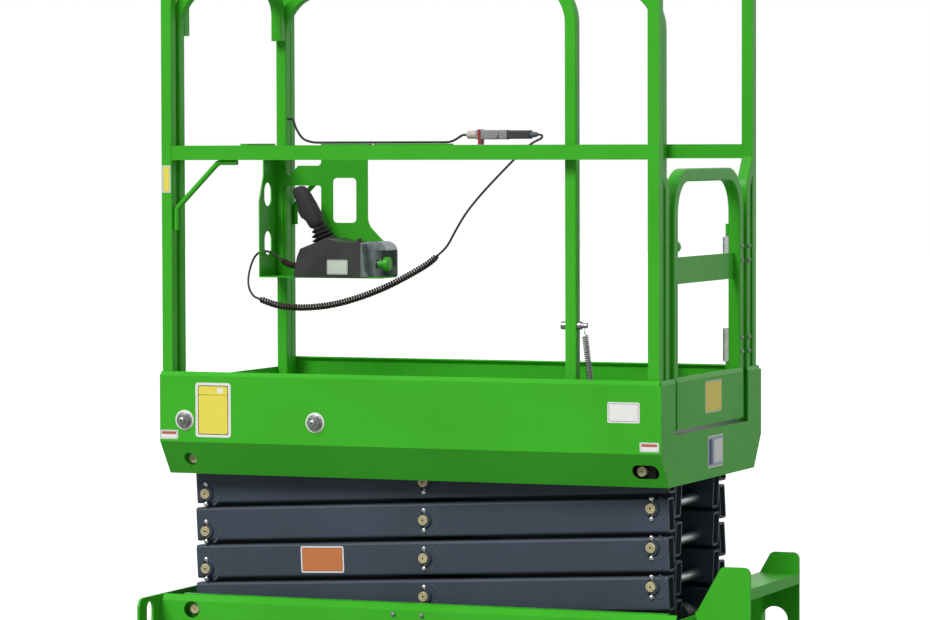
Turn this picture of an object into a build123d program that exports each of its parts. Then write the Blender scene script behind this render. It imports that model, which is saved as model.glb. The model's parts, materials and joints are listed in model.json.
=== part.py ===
from build123d import *
import math
import os

# A compact self-propelled scissor lift, parked and folded.
# +X points to the entry gate, -Y is the near side, +Z is up, millimetres.
# The origin lies on the floor under the middle of the whole machine.

# ---------------------------------------------------------------- chassis
ear_thick = 6.0
chassis_len = 1215.0
step_reach = 124.0
overall_len = ear_thick + chassis_len + step_reach
base_x0 = -overall_len / 2 + ear_thick
base_x1 = base_x0 + chassis_len
chassis_width = 630.0
chassis_sheet = 5.0
chassis_floor_z = 75.0
chassis_top_z = 369.0
chassis_lip_in = 15.0
chassis_lip_up = 13.0
ear_width = 844.0
ear_low_z = 262.0
ear_hole_width = 33.0
ear_hole_height = 52.0
ear_hole_z = 346.0
pivot_window_r = 19.0

step_width = 356.0
step_plate = 6.0
step_top_z = 476.0
step_tread_z = 430.0
step_tread_depth = 90.0
step_low_z = 190.0
step_low_tread_z = 235.0
step_flange = 24.0
step_hole_r = 31.0
step_hole_z = 323.0
step_hole_inset = 57.0

# ---------------------------------------------------------------- running gear
wheel_r = 115.0
wheel_width = 80.0
wheel_y = 367.0
rim_r = 76.0
axle_r = 17.0
front_axle_inset = 185.0
wheelbase = 905.0
front_axle_x = base_x0 + front_axle_inset
rear_axle_x = front_axle_x + wheelbase
kingpin_y = 262.0
kingpin_r = 14.0
fork_r = 24.0
arch_reach = 195.0
arch_top_z = 280.0
member_thick = 8.0
beam_width = 70.0
beam_height = 60.0
hub_r = 52.0
axle_foot_y = 200.0
axle_wall_gap = 30.0
lug_count = 5
lug_circle = 48.0
lug_r = 6.5
vent_r = 8.0
hub_cap_r = 22.0
tie_rod_x = 62.0
tie_rod_y = 40.0
tie_rod_r = 9.0

# ---------------------------------------------------------------- power pack
battery_len = 260.0
battery_width = 172.0
battery_height = 176.0
battery_lid = 22.0
battery_cells = 6
pack_wall_gap = 50.0
tank_len = 190.0
tank_height = 150.0
valve_len = 60.0
motor_len = 150.0
motor_r = 55.0
charger_len = 120.0
charger_height = 100.0
charger_fins = 7

# ---------------------------------------------------------------- scissor stack
levels = 4
arm_pitch = 1063.0
fold_deg = 4.55
arm_height = 75.0
arm_width = 40.0
arm_wall = 5.0
arm_plane_gap = 6.0
pin_edge = 22.0
arm_low_end = 22.0
arm_high_end = 38.0
stack_width = 386.0
stack_y = -45.0
pin_r = 11.3
boss_r = 18.5
boss_proud = 2.7
pin_head = 5.0
pin_drill_r = 2.6
pin_drill = 4.0
arm_round = 7.0
fit_gap = 0.3
pivot_z = 350.0
pivot_inset = 76.0
mount_gap = 33.0
mount_thick = 12.0
pin_reach = 17.0
block_len = 56.0
block_height = 40.0
slide_travel = 462.0

# ---------------------------------------------------------------- lift cylinder
barrel_r = 40.0
rod_r = 22.0
eye_r = 27.0
eye_width = 46.0
barrel_share = 0.86

# ---------------------------------------------------------------- platform
platform_len = 1180.0
platform_width = 690.0
platform_inset = 61.0
platform_sheet = 4.0
deck_rise = 74.0
toe_height = 113.0
wall_drop = 34.0
skirt_drop = 74.4
skirt_tuck = 52.0
lip_in = 10.2
lip_up = 9.0
deck_thick = 4.0
beam_drop = 20.0
window_r = 14.5
slot_len = 61.0
slot_height = 31.0
slot_shift = 15.0
gate_jamb_room = 11.0

rail = 26.0
rail_bend = 103.0
rail_top = 1100.0
rail_mid = 607.0
rail_mid_height = 32.0
post_side = 13.0
post_rear = 8.0
jamb_inset = 41.0
jamb_bend_drop = 62.0
jamb_bend = 30.0
brace_r = 6.0
brace_rise = 104.0
brace_end = 46.0

# ---------------------------------------------------------------- gate
gate_side_gap = 26.0
gate_tube = 28.0
gate_top = 571.0
gate_bend = 86.0
gate_plate_low = 322.0
gate_plate_high = 380.0
gate_sheet = 3.0
gate_toe_inset = 11.5
gate_low_gap = 10.0
hinge_pin_r = 5.0
hinge_barrel_r = 9.0
hinge_set = 13.0
hinge_reach = 10.0
hinge_len = 98.0
hinge_leaf = 3.0
hinge_low = 107.0
hinge_pitch = 239.0
knob_r = 13.5
bolt_r = 5.0
latch_rise = 403.0
latch_tip = 5.0

# ---------------------------------------------------------------- extension
ext_rear_room = 210.0
ext_side_gap = 9.0
ext_rail_top = 999.0
ext_travel = 600.0
ext_deck_thick = 3.0
ext_channel = 38.0
ext_channel_width = 30.0
ext_toe = 100.0
ext_drop = 131.0
bracket_drop = 277.0
bracket_len = 310.0
bracket_depth = 95.0
bracket_x = 2.0
bracket_sheet = 3.0
bracket_band = 47.0
bracket_neck = 238.0
box_x = 94.0
box_depth = 100.0
stick_tilt = 30.0
stick_x = 163.0
strip_gap = 12.0
strip_len = 195.0
front_strip_y = 66.0
front_strip_len = 150.0
front_strip_rise = 4.0
lock_rise = 235.0
lock_bolt_r = 6.0
spring_r = 7.5
spring_x = 15.0
pedal_rise = 74.0
pedal_reach = 55.0
pedal_width = 40.0
pedal_back = 30.0

# ---------------------------------------------------------------- control cord
lead_r = 2.75
curl_r = 8.5
gland_r = 8.0
gland_len = 10.0
gland_rise = 24.0
plug_size = 20.0
plug_len = 56.0
plug_boot = 16.0
plug_boot_r = 5.0
socket_len = 77.0
socket_end = 25.0
socket_rise = 12.3
tie_inset = 24.0
tie_width = 6.0
wire_entry_z = 1446.0

# ---------------------------------------------------------------- derived places
fold = math.radians(fold_deg)
level_rise = arm_pitch * math.sin(fold)
node_span = arm_pitch * math.cos(fold)
fixed_x = base_x0 + pivot_inset
slide_x = fixed_x + node_span
stack_top_z = pivot_z + levels * level_rise
deck_z = stack_top_z + deck_rise
crease_z = deck_z + toe_height
wall_low_z = deck_z - wall_drop
skirt_low_z = wall_low_z - skirt_drop
platform_x0 = fixed_x - platform_inset
platform_x1 = platform_x0 + platform_len
half_platform = platform_width / 2
half_chassis = chassis_width / 2
outer_y = stack_width / 2 - arm_width / 2
inner_y = outer_y - arm_width - arm_plane_gap
mount_y = stack_width / 2 + mount_gap
shaft_half = mount_y + mount_thick + pin_reach
rail_z = deck_z + rail_top
mid_z = deck_z + rail_mid
main_rail_y = half_platform - post_side - rail / 2
ext_rail_y = main_rail_y - rail - ext_side_gap
ext_floor_z = deck_z
gate_x = platform_x1 - post_rear - rail / 2
hinge_x = gate_x - gate_tube / 2 - hinge_reach
jamb_y = main_rail_y - jamb_inset
gate_width = 2 * (jamb_y - rail / 2 - gate_side_gap)
gate_toe_width = gate_width - 2 * gate_toe_inset
gate_opening = gate_width + 2 * gate_jamb_room
hinge_y = gate_width / 2 + hinge_set
ext_len = platform_len - ext_rear_room
ext_leg_y = ext_rail_y - rail - 1
bracket_y = ext_rail_y - rail / 2 - fit_gap
end_lip_in = post_rear - platform_sheet - 2 * fit_gap


def box(x0, x1, y0, y1, z0, z1):
    """A block between two corners."""
    size = Box(x1 - x0, y1 - y0, z1 - z0, align=(Align.MIN, Align.MIN, Align.MIN))
    return Pos(x0, y0, z0) * size


def cylinder_y(x, y0, y1, z, radius):
    """A round bar along Y."""
    bar = Cylinder(radius, y1 - y0, align=(Align.CENTER, Align.CENTER, Align.MIN))
    return Pos(x, y0, z) * Rot(-90, 0, 0) * bar


def cylinder_x(x0, x1, y, z, radius):
    """A round bar along X."""
    bar = Cylinder(radius, x1 - x0, align=(Align.CENTER, Align.CENTER, Align.MIN))
    return Pos(x0, y, z) * Rot(0, 90, 0) * bar


def cylinder_z(x, y, z0, z1, radius):
    """A round bar along Z."""
    bar = Cylinder(radius, z1 - z0, align=(Align.CENTER, Align.CENTER, Align.MIN))
    return Pos(x, y, z0) * bar


def bent_tube(points, width, height, bend):
    """A tube of rounded rectangular section along a path with tangent bends."""
    path = FilletPolyline(*points, radius=bend) if len(points) > 2 else Line(*points)
    start = Plane(origin=path @ 0, z_dir=path % 0)
    section = start * RectangleRounded(width, height, min(width, height) * 0.12)
    return sweep(section, path=path)


def round_bar(points, radius, bend):
    """A round bar along a path with tangent bends."""
    path = FilletPolyline(*points, radius=bend)
    start = Plane(origin=path @ 0, z_dir=path % 0)
    return sweep(start * Circle(radius), path=path)


def offset_points(points, thick):
    """The points of an open line moved to its left by a thickness, mitred."""
    moved = []
    count = len(points)
    for i, (u, v) in enumerate(points):
        normals = []
        for j in (i - 1, i):
            if 0 <= j < count - 1:
                du = points[j + 1][0] - points[j][0]
                dv = points[j + 1][1] - points[j][1]
                length = math.hypot(du, dv)
                normals.append((-dv / length, du / length))
        nu = sum(n[0] for n in normals) / len(normals)
        nv = sum(n[1] for n in normals) / len(normals)
        scale = thick / (nu * nu + nv * nv)
        moved.append((u + nu * scale, v + nv * scale))
    return moved


def folded_sheet_x(points, thick, x0, x1):
    """A sheet folded along X, its outline given as (y, z) points, thickened to the left."""
    loop = points + offset_points(points, thick)[::-1]
    face = make_face(Polyline([(0, y, z) for y, z in loop], close=True))
    return Pos(x0, 0, 0) * extrude(face, amount=x1 - x0, dir=(1, 0, 0))


def plate_xz(points, y0, y1):
    """A flat plate parallel to XZ."""
    face = make_face(Polyline([(x, y0, z) for x, z in points], close=True))
    return extrude(face, amount=y1 - y0, dir=(0, 1, 0))


def plate_yz(points, x0, x1):
    """A flat plate parallel to YZ."""
    face = make_face(Polyline([(x0, y, z) for y, z in points], close=True))
    return extrude(face, amount=x1 - x0, dir=(1, 0, 0))


def fuse(pieces):
    """One shape from a list of touching pieces."""
    return pieces[0].fuse(*pieces[1:]) if len(pieces) > 1 else pieces[0]


def mirrored(shape):
    """The shape on the other side of the machine's middle plane."""
    return mirror(shape, about=Plane.XZ)


def save(name, shape):
    """Write one sub-part."""
    shape = shape if isinstance(shape, Compound) else Compound([shape])
    shape.label = name
    export_step(shape, f"parts/{name}.step")


# ================================================================ chassis
def chassis_walls():
    """Side walls with their lips, end walls and floor, open above for the stack."""
    lip = [
        (-half_chassis, chassis_floor_z),
        (-half_chassis, chassis_top_z),
        (-half_chassis + chassis_lip_in, chassis_top_z + chassis_lip_up),
    ]
    near = folded_sheet_x(lip, -chassis_sheet, base_x0, base_x1)
    near -= cylinder_y(fixed_x, -half_chassis - 1, -half_chassis + chassis_sheet + 1, pivot_z, pivot_window_r)
    arch = box(
        base_x0 - 1, front_axle_x + arch_reach,
        -half_chassis - 1, -half_chassis + chassis_sheet + 1,
        chassis_floor_z - 1, arch_top_z,
    )
    axle_hole = cylinder_y(
        rear_axle_x, -half_chassis - 1, -half_chassis + chassis_sheet + 1, wheel_r, axle_r + 6,
    )
    near = near - arch - axle_hole
    inner_half = half_chassis - chassis_sheet
    floor = box(
        front_axle_x + arch_reach, base_x1, -inner_half, inner_half,
        chassis_floor_z, chassis_floor_z + chassis_sheet,
    )
    shelf = box(
        base_x0, front_axle_x + arch_reach, -inner_half, inner_half,
        arch_top_z, arch_top_z + chassis_sheet,
    )
    bulkhead = box(
        front_axle_x + arch_reach, front_axle_x + arch_reach + chassis_sheet, -inner_half, inner_half,
        chassis_floor_z + chassis_sheet, arch_top_z + chassis_sheet,
    )
    rear_wall = box(
        base_x1 - chassis_sheet, base_x1, -inner_half, inner_half, chassis_floor_z + chassis_sheet, chassis_top_z,
    )
    spine = box(
        front_axle_x - beam_width / 2, front_axle_x + beam_width / 2, -beam_width, beam_width,
        wheel_r + beam_height / 2, arch_top_z,
    )
    return Compound([near, mirrored(near), floor, shelf, bulkhead, rear_wall, spine])


def end_plate():
    """The plate across the front end, its two ears drilled for tie-down straps."""
    plate = box(
        base_x0 - ear_thick, base_x0, -ear_width / 2, ear_width / 2,
        ear_low_z, chassis_top_z + chassis_lip_up,
    )
    corners = plate.edges().filter_by(Axis.X).sort_by(Axis.Z)[-2:]
    plate = fillet(corners, 22)
    hole_y = (half_chassis + ear_width / 2) / 2
    for side in (-1, 1):
        slot = extrude(
            Plane.YZ.offset(base_x0 - ear_thick - 1) * Pos(side * hole_y, ear_hole_z)
            * SlotOverall(ear_hole_height, ear_hole_width, rotation=90),
            amount=ear_thick + 2,
        )
        plate -= slot
    return plate


def rear_step():
    """Two side plates and two folded treads at the entry end."""
    step_x1 = base_x1 + step_reach
    tread_x0 = step_x1 - step_tread_depth
    outline = [
        (base_x1, step_low_z),
        (step_x1, step_low_z),
        (step_x1, step_top_z),
        (step_x1 - 65, step_top_z),
        (base_x1 + 3, chassis_top_z + 8),
        (base_x1, chassis_top_z + 8),
    ]
    half = step_width / 2
    near = plate_xz(outline, -half, -half + step_plate)
    rounded = near.edges().filter_by(Axis.Y).filter_by(lambda e: e.center().Z > step_top_z - 1)
    near = fillet(rounded, 14)
    near -= cylinder_y(step_x1 - step_hole_inset, -half - 1, -half + step_plate + 1, step_hole_z, step_hole_r)
    pieces = [near, mirrored(near)]
    inside = half - step_plate
    for top_z in (step_tread_z, step_low_tread_z):
        pieces.append(box(tread_x0, step_x1, -inside, inside, top_z - 4, top_z))
        pieces.append(box(step_x1 - 4, step_x1, -inside, inside, top_z - step_flange, top_z - 4))
    return fuse(pieces)


def stack_guides(hole_z, low_z, high_z):
    """The pair of plates that carry the fixed pivot and guide the slide blocks."""
    pieces = []
    slot_x1 = slide_x + block_len / 2 + 8
    slot_x0 = slide_x - slide_travel - block_len / 2 - 8
    for side in (-1, 1):
        y0 = stack_y + side * (mount_y + mount_thick / 2) - mount_thick / 2
        y1 = y0 + mount_thick
        plate = box(fixed_x - 34, slot_x1 + 16, y0, y1, low_z, high_z)
        plate -= cylinder_y(fixed_x, y0 - 1, y1 + 1, hole_z, pin_r + fit_gap)
        plate -= box(
            slot_x0, slot_x1, y0 - 1, y1 + 1,
            hole_z - block_height / 2 - fit_gap, hole_z + block_height / 2 + fit_gap,
        )
        pieces.append(plate)
    return pieces


def chassis_guides():
    """Guide plates in the chassis, joined by cross members under the stack."""
    low_z = arch_top_z + chassis_sheet
    pieces = stack_guides(pivot_z, low_z + member_thick, pivot_z + block_height / 2 + 12)
    inner = half_chassis - chassis_sheet
    for x in (fixed_x - 20, fixed_x + 330, slide_x - 120, slide_x + 4):
        pieces.append(box(x, x + 40, -inner, inner, low_z, low_z + member_thick))
    return Compound(pieces)


def battery(x0, y0):
    """A traction battery: case, overhanging lid, vent caps and two terminals."""
    low = chassis_floor_z + chassis_sheet
    top = low + battery_height
    case = box(x0 + 3, x0 + battery_len - 3, y0 + 3, y0 + battery_width - 3, low, top - battery_lid)
    case = fillet(case.edges().filter_by(Axis.Z), 8)
    lid = box(x0, x0 + battery_len, y0, y0 + battery_width, top - battery_lid, top)
    lid = fillet(lid.edges().filter_by(Axis.Z), 10)
    lid = chamfer(lid.faces().sort_by(Axis.Z)[-1].edges(), 3)
    pieces = [case, lid]
    middle_y = y0 + battery_width / 2
    for i in range(battery_cells):
        cap_x = x0 + battery_len * (i + 0.5) / battery_cells
        pieces.append(cylinder_z(cap_x, middle_y, top - 1, top + 6, 13))
    for cap_x in (x0 + 24, x0 + battery_len - 24):
        pieces.append(cylinder_z(cap_x, y0 + 26, top - 1, top + 9, 8))
    return fuse(pieces)


def hydraulic_unit(x0, y0):
    """Oil tank, valve block and motor in one line along the chassis, with the charger behind them."""
    low = chassis_floor_z + chassis_sheet
    y1 = y0 + battery_width
    middle_y = (y0 + y1) / 2
    tank = box(x0, x0 + tank_len, y0, y1, low, low + tank_height)
    tank = fillet(tank.edges().filter_by(Axis.X), 16)
    filler = cylinder_z(x0 + 45, y0 + 50, low + tank_height - 2, low + tank_height + 14, 17)
    block = box(
        x0 + tank_len, x0 + tank_len + valve_len, middle_y - 42, middle_y + 42, low, low + motor_r * 2 + 12,
    )
    motor_z = low + motor_r + 4
    motor_x = x0 + tank_len + valve_len
    motor = cylinder_x(motor_x, motor_x + motor_len, middle_y, motor_z, motor_r)
    motor = fillet(motor.edges().filter_by(GeomType.CIRCLE).sort_by(Axis.X)[-1:], 8)
    foot = box(motor_x + 30, motor_x + motor_len - 30, middle_y - 34, middle_y + 34, low, motor_z - motor_r * 0.6)
    knob = cylinder_z(motor_x - valve_len / 2, middle_y, low + motor_r * 2 + 10, low + motor_r * 2 + 34, 11)
    charger = box(motor_x + motor_len + 16, motor_x + motor_len + 16 + charger_len, y0, y1, low, low + charger_height)
    fins = []
    for i in range(charger_fins):
        fin_x = motor_x + motor_len + 16 + charger_len * (i + 0.5) / charger_fins
        fins.append(box(
            fin_x - 2, fin_x + 2, y0 + 6, y1 - 6, low + charger_height - 1, low + charger_height + 14,
        ))
    return [fuse([tank, filler, block, motor, foot, knob]), fuse([charger] + fins)]


def power_pack():
    """Batteries along the near side and the hydraulic unit along the far side of the chassis."""
    x0 = front_axle_x + arch_reach + chassis_sheet + 15
    pieces = []
    for i in range(2):
        pieces.append(battery(x0 + i * (battery_len + 14), -half_chassis + pack_wall_gap))
    pieces += hydraulic_unit(x0, half_chassis - pack_wall_gap - battery_width)
    return Compound(pieces)


# ================================================================ running gear
def front_axle():
    """A beam with a fork at each end for the kingpin."""
    y1 = kingpin_y - 52
    beam = box(
        front_axle_x - beam_width / 2, front_axle_x + beam_width / 2, -y1, y1,
        wheel_r - beam_height / 2, wheel_r + beam_height / 2,
    )
    pieces = [beam]
    for side in (-1, 1):
        ya, yb = sorted((side * (y1 - 14), side * kingpin_y))
        for z0 in (wheel_r - beam_height / 2 - 12, wheel_r + beam_height / 2):
            tab = box(front_axle_x - fork_r, front_axle_x + fork_r, ya, yb, z0, z0 + 12)
            tab = tab.fuse(cylinder_z(front_axle_x, side * kingpin_y, z0, z0 + 12, fork_r))
            tab -= cylinder_z(front_axle_x, side * kingpin_y, z0 - 1, z0 + 13, kingpin_r + fit_gap)
            pieces.append(tab)
    return fuse(pieces)


def rear_axle():
    """The rear axle beam with its two stubs."""
    beam = box(
        rear_axle_x - beam_width / 2, rear_axle_x + beam_width / 2,
        -half_chassis + axle_wall_gap, half_chassis - axle_wall_gap,
        wheel_r - 25, wheel_r + 25,
    )
    tip = wheel_y + wheel_width / 2 - 22
    pieces = [beam, cylinder_y(rear_axle_x, -tip, tip, wheel_r, axle_r)]
    for y in (-axle_foot_y, axle_foot_y):
        pieces.append(box(
            rear_axle_x - beam_width / 2, rear_axle_x + beam_width / 2, y - 30, y + 30,
            chassis_floor_z + chassis_sheet, wheel_r - 25,
        ))
    return fuse(pieces)


def knuckle(side):
    """Kingpin, hub motor and stub of one steered wheel, with its steering arm."""
    pin = cylinder_z(front_axle_x, side * kingpin_y, wheel_r - beam_height / 2 - 22, wheel_r + beam_height / 2 + 20, kingpin_r)
    core = cylinder_z(
        front_axle_x, side * kingpin_y, wheel_r - beam_height / 2 + 0.5, wheel_r + beam_height / 2 - 0.5, fork_r,
    )
    tip = side * (wheel_y + wheel_width / 2 - 22)
    ya, yb = sorted((side * kingpin_y, tip))
    stub = cylinder_y(front_axle_x, ya, yb, wheel_r, axle_r)
    flange_y = sorted((side * (kingpin_y + fork_r + 6), side * (wheel_y - wheel_width / 2 + 4)))
    flange = cylinder_y(front_axle_x, flange_y[0], flange_y[1], wheel_r, hub_r - 6)
    arm_y = side * kingpin_y
    arm = box(
        front_axle_x, front_axle_x + tie_rod_x + 12, arm_y - 12, arm_y + 12,
        wheel_r + beam_height / 2 - 18, wheel_r + beam_height / 2 - 6,
    )
    eye = cylinder_z(
        front_axle_x + tie_rod_x, arm_y, wheel_r + beam_height / 2 - 18, wheel_r + beam_height / 2 + 18, 6,
    )
    return fuse([pin, core, stub, flange, arm, eye])


def tie_rod():
    """The rod between the two steering arms."""
    z = wheel_r + beam_height / 2 + 9
    x = front_axle_x + tie_rod_x
    rod = cylinder_y(x, -kingpin_y, kingpin_y, z, tie_rod_r - 2)
    pieces = [rod]
    for side in (-1, 1):
        pieces.append(cylinder_z(x, side * kingpin_y, z - 8, z + 8, 14))
    rod = fuse(pieces)
    for side in (-1, 1):
        rod -= cylinder_z(x, side * kingpin_y, z - 10, z + 10, 6 + fit_gap)
    return rod


def tyre(x, y):
    """A solid tyre with rounded shoulders."""
    ring = cylinder_y(x, y - wheel_width / 2, y + wheel_width / 2, wheel_r, wheel_r)
    ring = fillet(ring.edges().filter_by(GeomType.CIRCLE), 12)
    return ring - cylinder_y(x, y - wheel_width, y + wheel_width, wheel_r, rim_r)


def rim(x, y, side):
    """A dished wheel disc with its barrel, hub, wheel nuts and vent holes."""
    barrel = cylinder_y(x, y - wheel_width / 2 + 4, y + wheel_width / 2 - 4, wheel_r, rim_r)
    barrel -= cylinder_y(x, y - wheel_width, y + wheel_width, wheel_r, rim_r - 6)
    disc_y = y + side * 8
    disc = cylinder_y(x, disc_y - 5, disc_y + 5, wheel_r, rim_r - 3)
    hub = cylinder_y(x, disc_y - 14, disc_y + 14, wheel_r, 34)
    hub = chamfer(hub.edges().filter_by(GeomType.CIRCLE), 2)
    pieces = [barrel, disc, hub]
    outer = disc_y + side * 5
    step = 360 / lug_count
    for i in range(lug_count):
        turn = math.radians(i * step)
        nut_y = sorted((outer - side, outer + side * 7))
        nut_x = x + lug_circle * math.cos(turn)
        nut_z = wheel_r + lug_circle * math.sin(turn)
        nut = Pos(nut_x, nut_y[0], nut_z) * Rot(-90, 0, 0) * extrude(RegularPolygon(lug_r, 6), amount=nut_y[1] - nut_y[0])
        pieces.append(nut)
    wheel = fuse(pieces)
    for i in range(lug_count):
        turn = math.radians((i + 0.5) * step)
        vent_x = x + (lug_circle + 6) * math.cos(turn)
        vent_z = wheel_r + (lug_circle + 6) * math.sin(turn)
        wheel -= cylinder_y(vent_x, disc_y - 6, disc_y + 6, vent_z, vent_r)
    return wheel - cylinder_y(x, y - wheel_width, y + wheel_width, wheel_r, axle_r + fit_gap)


# ================================================================ scissor stack
def node_place(index, right):
    """Centre of a pin node; nodes are counted from the chassis up."""
    return (slide_x if right else fixed_x, pivot_z + index * level_rise)


def arm_tube(low, high, y, low_end, high_end):
    """One open-ended arm tube, pinned near its lower edge at the low end."""
    rise = high[1] - low[1]
    run = high[0] - low[0]
    line = math.degrees(math.atan2(rise, abs(run)))
    offset = arm_height / 2 - pin_edge
    tilt = math.degrees(math.asin(2 * offset / arm_pitch))
    outline = RectangleRounded(arm_width, arm_height, arm_round)
    bore = RectangleRounded(arm_width - 2 * arm_wall, arm_height - 2 * arm_wall, arm_round - arm_wall)
    section = Plane.YZ.offset(-low_end - arm_pitch / 2) * (outline - bore)
    body = extrude(section, amount=low_end + arm_pitch + high_end, dir=(1, 0, 0))
    body = Rot(0, -(line - tilt), 0) * body
    if run < 0:
        body = mirror(body, about=Plane.YZ)
    middle = ((low[0] + high[0]) / 2, (low[1] + high[1]) / 2)
    return Pos(middle[0], y, middle[1]) * body


def arm_pair(level, outer):
    """The near and far tubes of one arm with their pin bosses."""
    low = node_place(level - 1, not outer)
    high = node_place(level, outer)
    centre = ((low[0] + high[0]) / 2, (low[1] + high[1]) / 2)
    reach = outer_y if outer else inner_y
    low_end = arm_low_end if outer else arm_high_end
    high_end = arm_high_end if outer else arm_low_end
    pieces = []
    for side in (-1, 1):
        y = stack_y + side * reach
        tube = arm_tube(low, high, y, low_end, high_end)
        for x, z in (low, centre, high):
            boss = cylinder_y(x, y - arm_width / 2 - boss_proud, y + arm_width / 2 + boss_proud, z, boss_r)
            tube = tube.fuse(boss)
        for x, z in (low, centre, high):
            tube -= cylinder_y(x, y - arm_width, y + arm_width, z, pin_r + fit_gap)
        pieces.append(tube)
    return Compound(pieces)


def shaft(x, z, half):
    """A through shaft across the stack."""
    bar = cylinder_y(x, stack_y - half, stack_y + half, z, pin_r)
    bar = chamfer(bar.edges().filter_by(GeomType.CIRCLE), 1)
    for y in (stack_y - half, stack_y + half):
        bar -= cylinder_y(x, y - pin_drill, y + pin_drill, z, pin_drill_r)
    return bar


def pins(level):
    """Pins carried by the outer arm of one level."""
    outside = stack_width / 2 + boss_proud + pin_head
    low = node_place(level - 1, False)
    high = node_place(level, True)
    centre = ((low[0] + high[0]) / 2, (low[1] + high[1]) / 2)
    pieces = [shaft(*low, shaft_half if level == 1 else outside)]
    pieces.append(shaft(*high, shaft_half if level == levels else outside))
    inside = inner_y - arm_width / 2 - boss_proud - 3
    for side in (-1, 1):
        ya, yb = sorted((stack_y + side * inside, stack_y + side * outside))
        stub = cylinder_y(centre[0], ya, yb, centre[1], pin_r)
        stub = chamfer(stub.edges().filter_by(GeomType.CIRCLE), 1)
        tip = stack_y + side * outside
        pieces.append(stub - cylinder_y(centre[0], tip - pin_drill, tip + pin_drill, centre[1], pin_drill_r))
    return Compound(pieces)


def slide_blocks(z):
    """Two blocks that run in the guide plates' slots."""
    pieces = []
    for side in (-1, 1):
        y = stack_y + side * (mount_y + mount_thick / 2)
        block = box(
            slide_x - block_len / 2, slide_x + block_len / 2, y - mount_thick / 2 - 4, y + mount_thick / 2 + 4,
            z - block_height / 2, z + block_height / 2,
        )
        pieces.append(block - cylinder_y(slide_x, y - mount_thick, y + mount_thick, z, pin_r + fit_gap))
    return Compound(pieces)


def cylinder_line():
    """The lift cylinder's foot, head, length and slope."""
    foot = node_place(0, True)
    head = node_place(2, False)
    length = math.hypot(head[0] - foot[0], head[1] - foot[1])
    slope = math.degrees(math.atan2(head[1] - foot[1], foot[0] - head[0]))
    return foot, head, length, slope


def along_cylinder(shape):
    """Move a shape drawn along -X from the origin onto the cylinder's line."""
    foot, head, length, slope = cylinder_line()
    return Pos(foot[0], stack_y, foot[1]) * Rot(0, slope, 0) * shape


def lift_barrel():
    """Barrel with its foot eye."""
    length = cylinder_line()[2]
    far = length * barrel_share
    eye = cylinder_y(0, -eye_width / 2, eye_width / 2, 0, eye_r)
    tube = cylinder_x(-far, -eye_r + 4, 0, 0, barrel_r)
    tube -= cylinder_x(-far - 1, -eye_r - 60, 0, 0, rod_r + fit_gap)
    return along_cylinder(fuse([eye, tube]) - cylinder_y(0, -60, 60, 0, pin_r + fit_gap))


def lift_rod():
    """Chromed rod with its head eye."""
    length = cylinder_line()[2]
    rod = cylinder_x(-length + eye_r - 4, -eye_r - 70, 0, 0, rod_r)
    eye = cylinder_y(-length, -eye_width / 2, eye_width / 2, 0, eye_r)
    return along_cylinder(fuse([rod, eye]) - cylinder_y(-length, -60, 60, 0, pin_r + fit_gap))


# ================================================================ platform
def platform_frame():
    """Side walls with lips and tucked skirts, and the end wall with the gate opening."""
    side = [
        (-half_platform + skirt_tuck, skirt_low_z),
        (-half_platform, wall_low_z),
        (-half_platform, crease_z),
        (-half_platform + lip_in, crease_z + lip_up),
    ]
    near = folded_sheet_x(side, -platform_sheet, platform_x0, platform_x1 - platform_sheet)
    mirrored_near = mirrored(near)
    window = cylinder_y(fixed_x, -half_platform, -half_platform + skirt_tuck, stack_top_z, window_r)
    slot = extrude(
        Plane.XZ.offset(half_platform) * Pos(slide_x + slot_shift, stack_top_z)
        * SlotOverall(slot_len, slot_height),
        amount=-skirt_tuck,
    )
    near = near - window - slot
    half_gate = gate_opening / 2
    end = [
        (-half_platform, wall_low_z),
        (-half_platform + skirt_tuck, skirt_low_z),
        (half_platform - skirt_tuck, skirt_low_z),
        (half_platform, wall_low_z),
        (half_platform, crease_z),
        (half_gate, crease_z),
        (half_gate, deck_z),
        (-half_gate, deck_z),
        (-half_gate, crease_z),
        (-half_platform, crease_z),
    ]
    wall = plate_yz(end, platform_x1 - platform_sheet, platform_x1)
    lip = [
        (platform_x1, crease_z),
        (platform_x1 - end_lip_in, crease_z + lip_up),
        (platform_x1 - end_lip_in - platform_sheet, crease_z + lip_up),
        (platform_x1 - platform_sheet, crease_z),
    ]
    corner = half_platform - lip_in
    near_lip = plate_xz(lip, -corner, -half_gate)
    far_lip = plate_xz(lip, half_gate, corner)
    return fuse([near, mirrored_near, wall, near_lip, far_lip])


def platform_guides():
    """Guide plates under the deck and the cross members that tie them to the walls."""
    under = deck_z - deck_thick
    pieces = stack_guides(stack_top_z, stack_top_z - block_height / 2 - 12, under - beam_drop)
    inner = half_platform - platform_sheet
    for x in (platform_x0 + 10, fixed_x + 380, slide_x - 260, slide_x + 6):
        pieces.append(box(x, x + 40, -inner, inner, under - beam_drop, under))
    return Compound(pieces)


def main_deck():
    """The fixed deck plate."""
    inner = half_platform - platform_sheet - 0.2
    return box(platform_x0, platform_x1 - platform_sheet - 0.2, -inner, inner, deck_z - deck_thick, deck_z)


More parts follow.
